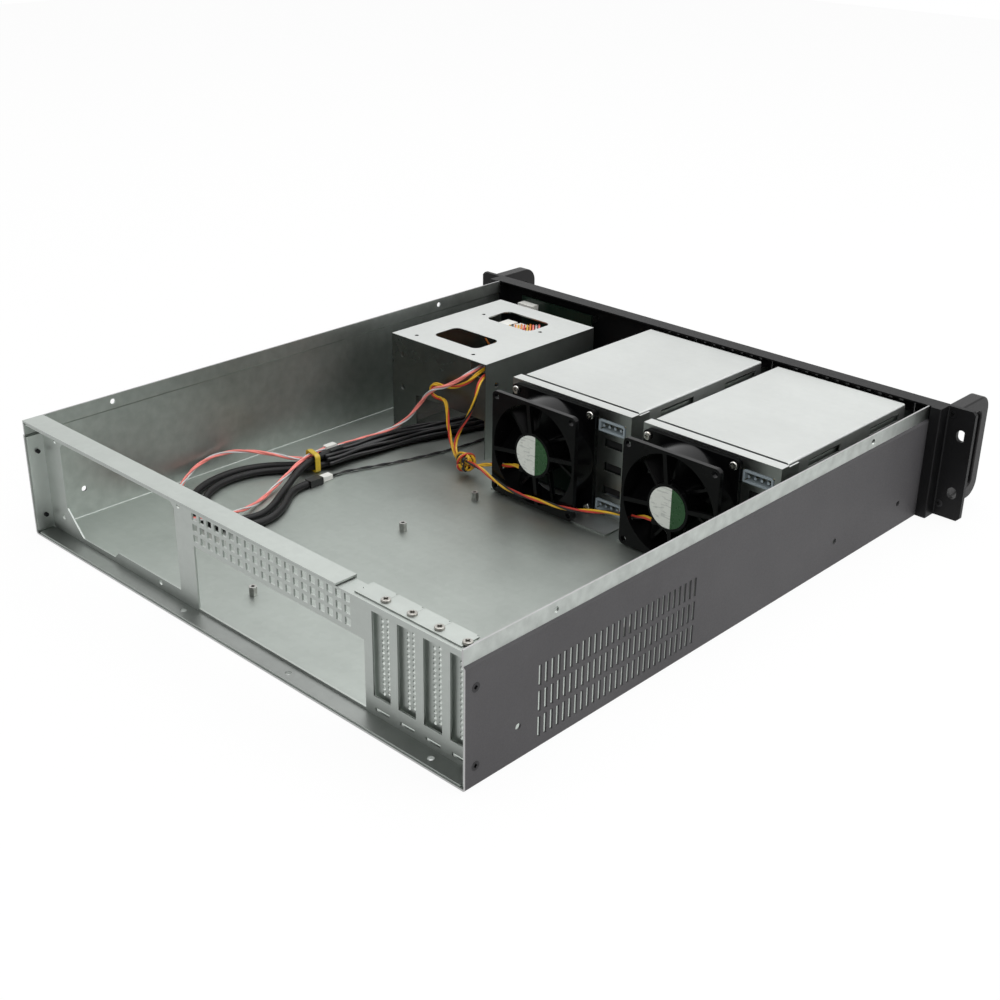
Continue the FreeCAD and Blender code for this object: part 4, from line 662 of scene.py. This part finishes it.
def strands(name, points, radius, wires, twist_length, sides):
    """A twisted bundle of wires: each wire is a material and a share of the radius."""
    stations = list(zip(points, frames_along(points), distances(points)))
    tubes = []
    for index, (material, share) in enumerate(wires):
        offset = radius * (1.0 - share)
        start = 2 * math.pi * index / len(wires)
        line = []
        for point, (way, side, up), along in stations:
            angle = start + 2 * math.pi * along / twist_length
            line.append(point + (side * math.cos(angle) + up * math.sin(angle)) * offset)
        tubes.append((material, line, radius * share))
    return tube_object(name, tubes, sides)


def lay_cord(node, route, radius, wires, twist_length=0.05, steps=6,
             sides=10):
    """Draw a cord along its route, put it on the case and hide the part it stands in for."""
    points = centreline(node, route, steps)
    obj = strands(node + "_run", points, radius, wires, twist_length, sides)
    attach(obj, "case")
    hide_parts(node)


def lay_cords():
    lay_cord("harness_outer", OUTER_ROUTE, OUTER_RADIUS, (("sleeve", 1.0),),
             steps=8, sides=20)
    lay_cord("harness_inner", INNER_ROUTE, INNER_RADIUS, (("sleeve", 1.0),),
             steps=8, sides=20)
    lay_cord("pink_lead", PINK_ROUTE, LEAD_RADIUS, (("pink", 0.6), ("pale", 0.4), ("pink", 0.5)))
    lay_cord("fan_lead_left", LEFT_LEAD_ROUTE, LEAD_RADIUS,
             (("yellow", 0.52), ("red", 0.48), ("black", 0.46)))
    lay_cord("fan_lead_centre", CENTRE_LEAD_ROUTE, LEAD_RADIUS,
             (("yellow", 0.52), ("red", 0.48), ("yellow", 0.46)),
             twist_length=0.04)
    lay_cord("signal_lead", SIGNAL_ROUTE, SIGNAL_RADIUS, (("black", 0.5), ("black", 0.5)),
             twist_length=0.03)


def wire_group(name, lines, wire):
    """Loose single wires: each line is a material and its points."""
    obj = tube_object(name, [(colour, points, wire) for colour, points in lines], 8)
    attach(obj, "case")
    return obj


def harness_wires():
    """Thin black wires that lie along the two sleeves between the cage and the tie."""
    offsets = ((-2.4, 4.6), (2.0, 4.3), (4.6, 2.0), (-10.4, 1.6), (-8.4, 4.6), (4.9, -1.2),
               (-0.2, 6.6), (-5.4, 5.6), (3.0, 6.4), (6.6, 0.6))
    run = centreline("harness_wires", OUTER_ROUTE, 6)
    run = [p for i, p in enumerate(run) if REAR_Y - p.y > TIE_END and i < len(run) / 2]
    lines = []
    for index, (side, rise) in enumerate(offsets):
        points = []
        for i, point in enumerate(run):
            sway = 0.7 * math.sin(0.42 * i + 1.7 * index)
            lift = 0.5 * math.sin(0.31 * i + index)
            points.append(point + Vector((side + sway, 0.0, rise + lift)) * MM)
        lines.append(("black", points))
    wire_group("harness_wires", lines, HARNESS_WIRE)


def slack_loops():
    """Slack of the fan leads, coiled small and held by the dark tie."""
    centre = Vector((0.0668, REAR_Y - 0.2808, 0.0132))
    count = 26
    lines = []
    for index, colour in enumerate(("yellow", "yellow", "red", "yellow", "yellow", "yellow", "black")):
        reach = (5.6 + 0.8 * (index % 3)) * MM
        lean = math.radians(25 * index - 50)
        points = []
        for k in range(count):
            angle = 2 * math.pi * k / (count - 1) * 0.97
            local = Vector((0.35 * math.sin(angle + index), math.cos(angle), math.sin(angle))) * reach
            local.rotate(Matrix.Rotation(lean, 3, "Z"))
            points.append(centre + local + Vector((0.6 * index - 1.5, 0, 0)) * MM)
        lines.append((colour, points))
    wire_group("lead_slack_loops", lines, SLACK_WIRE)


def window_wires():
    """Drive leads that cross under the fixed cage's front window."""
    low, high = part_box("fixed_drive_cage")
    top = high.z - 1.2 * MM
    middle_x = (low.x + high.x) / 2 - 4 * MM
    middle_y = low.y + 31 * MM
    # millimetres across, forward and down from the window's middle, and shares of the dip
    knots = ((-17, -22, 19, 0), (-10, -12, 5, 1), (0, 0, 2.2, 1), (10, 11, 4, 1), (18, 20, 17, 0))
    colours = ("pink", "pale", "pink", "orange", "yellow", "red", "orange", "yellow", "orange",
               "black", "yellow")
    lines = []
    for index, colour in enumerate(colours):
        shift = (index - 5) * 1.75 * MM
        dip = (0.6 + 0.8 * math.sin(2.1 * index) ** 2) * MM
        route = [(middle_x + shift + across * MM, REAR_Y - middle_y + forward * MM - shift,
                  top - down * MM - share * dip) for across, forward, down, share in knots]
        lines.append((colour, centreline("window_wire", route, 8)))
    wire_group("window_wires", lines, DRIVE_WIRE)


def stowed_wires():
    """Slack of the drive leads, looped up inside the fixed cage."""
    low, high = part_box("stowed_leads")
    middle = (low + high) / 2
    reach = (high - low) / 2
    colours = ("orange", "yellow", "red", "yellow", "black", "orange", "pale", "red",
               "yellow", "black", "pink", "orange", "black", "yellow")
    margin = 3 * MM
    count = 48
    lines = []
    for index, colour in enumerate(colours):
        share = index / (len(colours) - 1)
        tilt = 0.9 * math.sin(2.3 * index)
        points = []
        for k in range(count):
            angle = 2 * math.pi * 0.94 * k / (count - 1) + 1.7 * index
            across = (reach.x - margin) * math.cos(angle) * (0.98 - 0.16 * math.sin(1.9 * index) ** 2)
            forward = (reach.y - margin) * math.sin(angle + tilt) * (0.45 + 0.5 * share)
            rise = 0.55 + 0.45 * math.sin(angle * 0.5 + index)
            height = low.z + margin + (high.z - low.z - 2 * margin) * rise
            points.append(Vector((middle.x + across, middle.y + forward, height)))
        lines.append((colour, points))
    obj = wire_group("stowed_leads_loops", lines, DRIVE_WIRE)
    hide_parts("stowed_leads")


# ---- stage --------------------------------------------------------------
def seen_or_reflected(tree):
    """One for what the camera sees directly or in a reflection, else nought."""
    rays = tree.nodes.new("ShaderNodeLightPath")
    seen = tree.nodes.new("ShaderNodeMath")
    seen.operation = "MAXIMUM"
    tree.links.new(rays.outputs["Is Camera Ray"], seen.inputs[0])
    tree.links.new(rays.outputs["Is Glossy Ray"], seen.inputs[1])
    return seen.outputs[0]


def make_floor():
    """Pale floor that keeps a light shadow."""
    size = 6.0
    gap = 0.0002
    glow_share = 0.94
    bpy.ops.mesh.primitive_plane_add(size=size, location=(0, 0, cad_low.z - gap))
    floor = bpy.context.object
    floor.name = "floor"
    material = bpy.data.materials.new("pale_floor")
    material.use_nodes = True
    tree = material.node_tree
    tree.nodes.clear()
    output = tree.nodes.new("ShaderNodeOutputMaterial")
    diffuse = tree.nodes.new("ShaderNodeBsdfDiffuse")
    diffuse.inputs["Color"].default_value = (0.9, 0.9, 0.9, 1)
    glow = tree.nodes.new("ShaderNodeEmission")
    glow.inputs["Strength"].default_value = 1.0
    share = tree.nodes.new("ShaderNodeMath")
    share.operation = "MULTIPLY"
    share.inputs[1].default_value = glow_share
    tree.links.new(seen_or_reflected(tree), share.inputs[0])
    mix = tree.nodes.new("ShaderNodeMixShader")
    tree.links.new(share.outputs[0], mix.inputs[0])
    tree.links.new(diffuse.outputs[0], mix.inputs[1])
    tree.links.new(glow.outputs[0], mix.inputs[2])
    tree.links.new(mix.outputs[0], output.inputs["Surface"])
    floor.data.materials.append(material)


def make_world():
    """White surround for the camera and for reflections, softer as a light."""
    world = bpy.data.worlds.new("surround")
    bpy.context.scene.world = world
    world.use_nodes = True
    tree = world.node_tree
    background = tree.nodes["Background"]
    background.inputs["Color"].default_value = (1, 1, 1, 1)
    strength = tree.nodes.new("ShaderNodeMapRange")
    strength.inputs["To Min"].default_value = 0.55
    strength.inputs["To Max"].default_value = 1.0
    tree.links.new(seen_or_reflected(tree), strength.inputs["Value"])
    tree.links.new(strength.outputs["Result"], background.inputs["Strength"])


def dark_card(name, place, width, turn):
    """A dark card that only reflections show."""
    height = 2.4
    foot = 0.2
    bpy.ops.mesh.primitive_plane_add(size=1.0, location=(place[0], place[1], height / 2 + foot),
                                     rotation=(math.radians(90), 0, math.radians(turn)))
    card = bpy.context.object
    card.name = name
    card.scale = (width, height, 1.0)
    for ray in ("camera", "diffuse", "transmission", "volume_scatter", "shadow"):
        setattr(card, "visible_" + ray, False)
    material = bpy.data.materials.new(name + "_cloth")
    material.use_nodes = True
    principled = material.node_tree.nodes["Principled BSDF"]
    principled.inputs["Base Color"].default_value = (0.01, 0.01, 0.01, 1)
    card.data.materials.append(material)


def make_dark_cards():
    dark_card("rear_card", (0.2, REAR_Y + 2.4), 5.6, 0)
    dark_card("side_card", (-2.6, REAR_Y - 0.4), 5.6, 90)


def soft_lamp(name, place, aim, size, energy):
    data = bpy.data.lights.new(name, "AREA")
    data.shape = "SQUARE"
    data.size = size
    data.energy = energy
    lamp = bpy.data.objects.new(name, data)
    bpy.context.scene.collection.objects.link(lamp)
    lamp.location = place
    lamp.rotation_euler = (Vector(aim) - Vector(place)).to_track_quat("-Z", "Y").to_euler()
    return lamp


def make_lamps():
    """Soft light from above and the side; the rear one shows in no reflection."""
    soft_lamp("overhead", (0.1, -0.4, 2.2), (0, 0, 0), 2.0, 28.0)
    soft_lamp("side", (-2.0, -1.0, 1.3), (0, 0, 0), 1.4, 18.0)
    rear = soft_lamp("rear", (-1.2, 1.8, 1.5), (0, 0, 0), 1.4, 16.0)
    rear.visible_glossy = False


# ---- build --------------------------------------------------------------
make_camera()
lay_cords()
stowed_wires()
harness_wires()
slack_loops()
window_wires()
finish_solids()
make_floor()
make_world()
make_dark_cards()
make_lamps()
bpy.context.scene.view_settings.view_transform = "Standard"
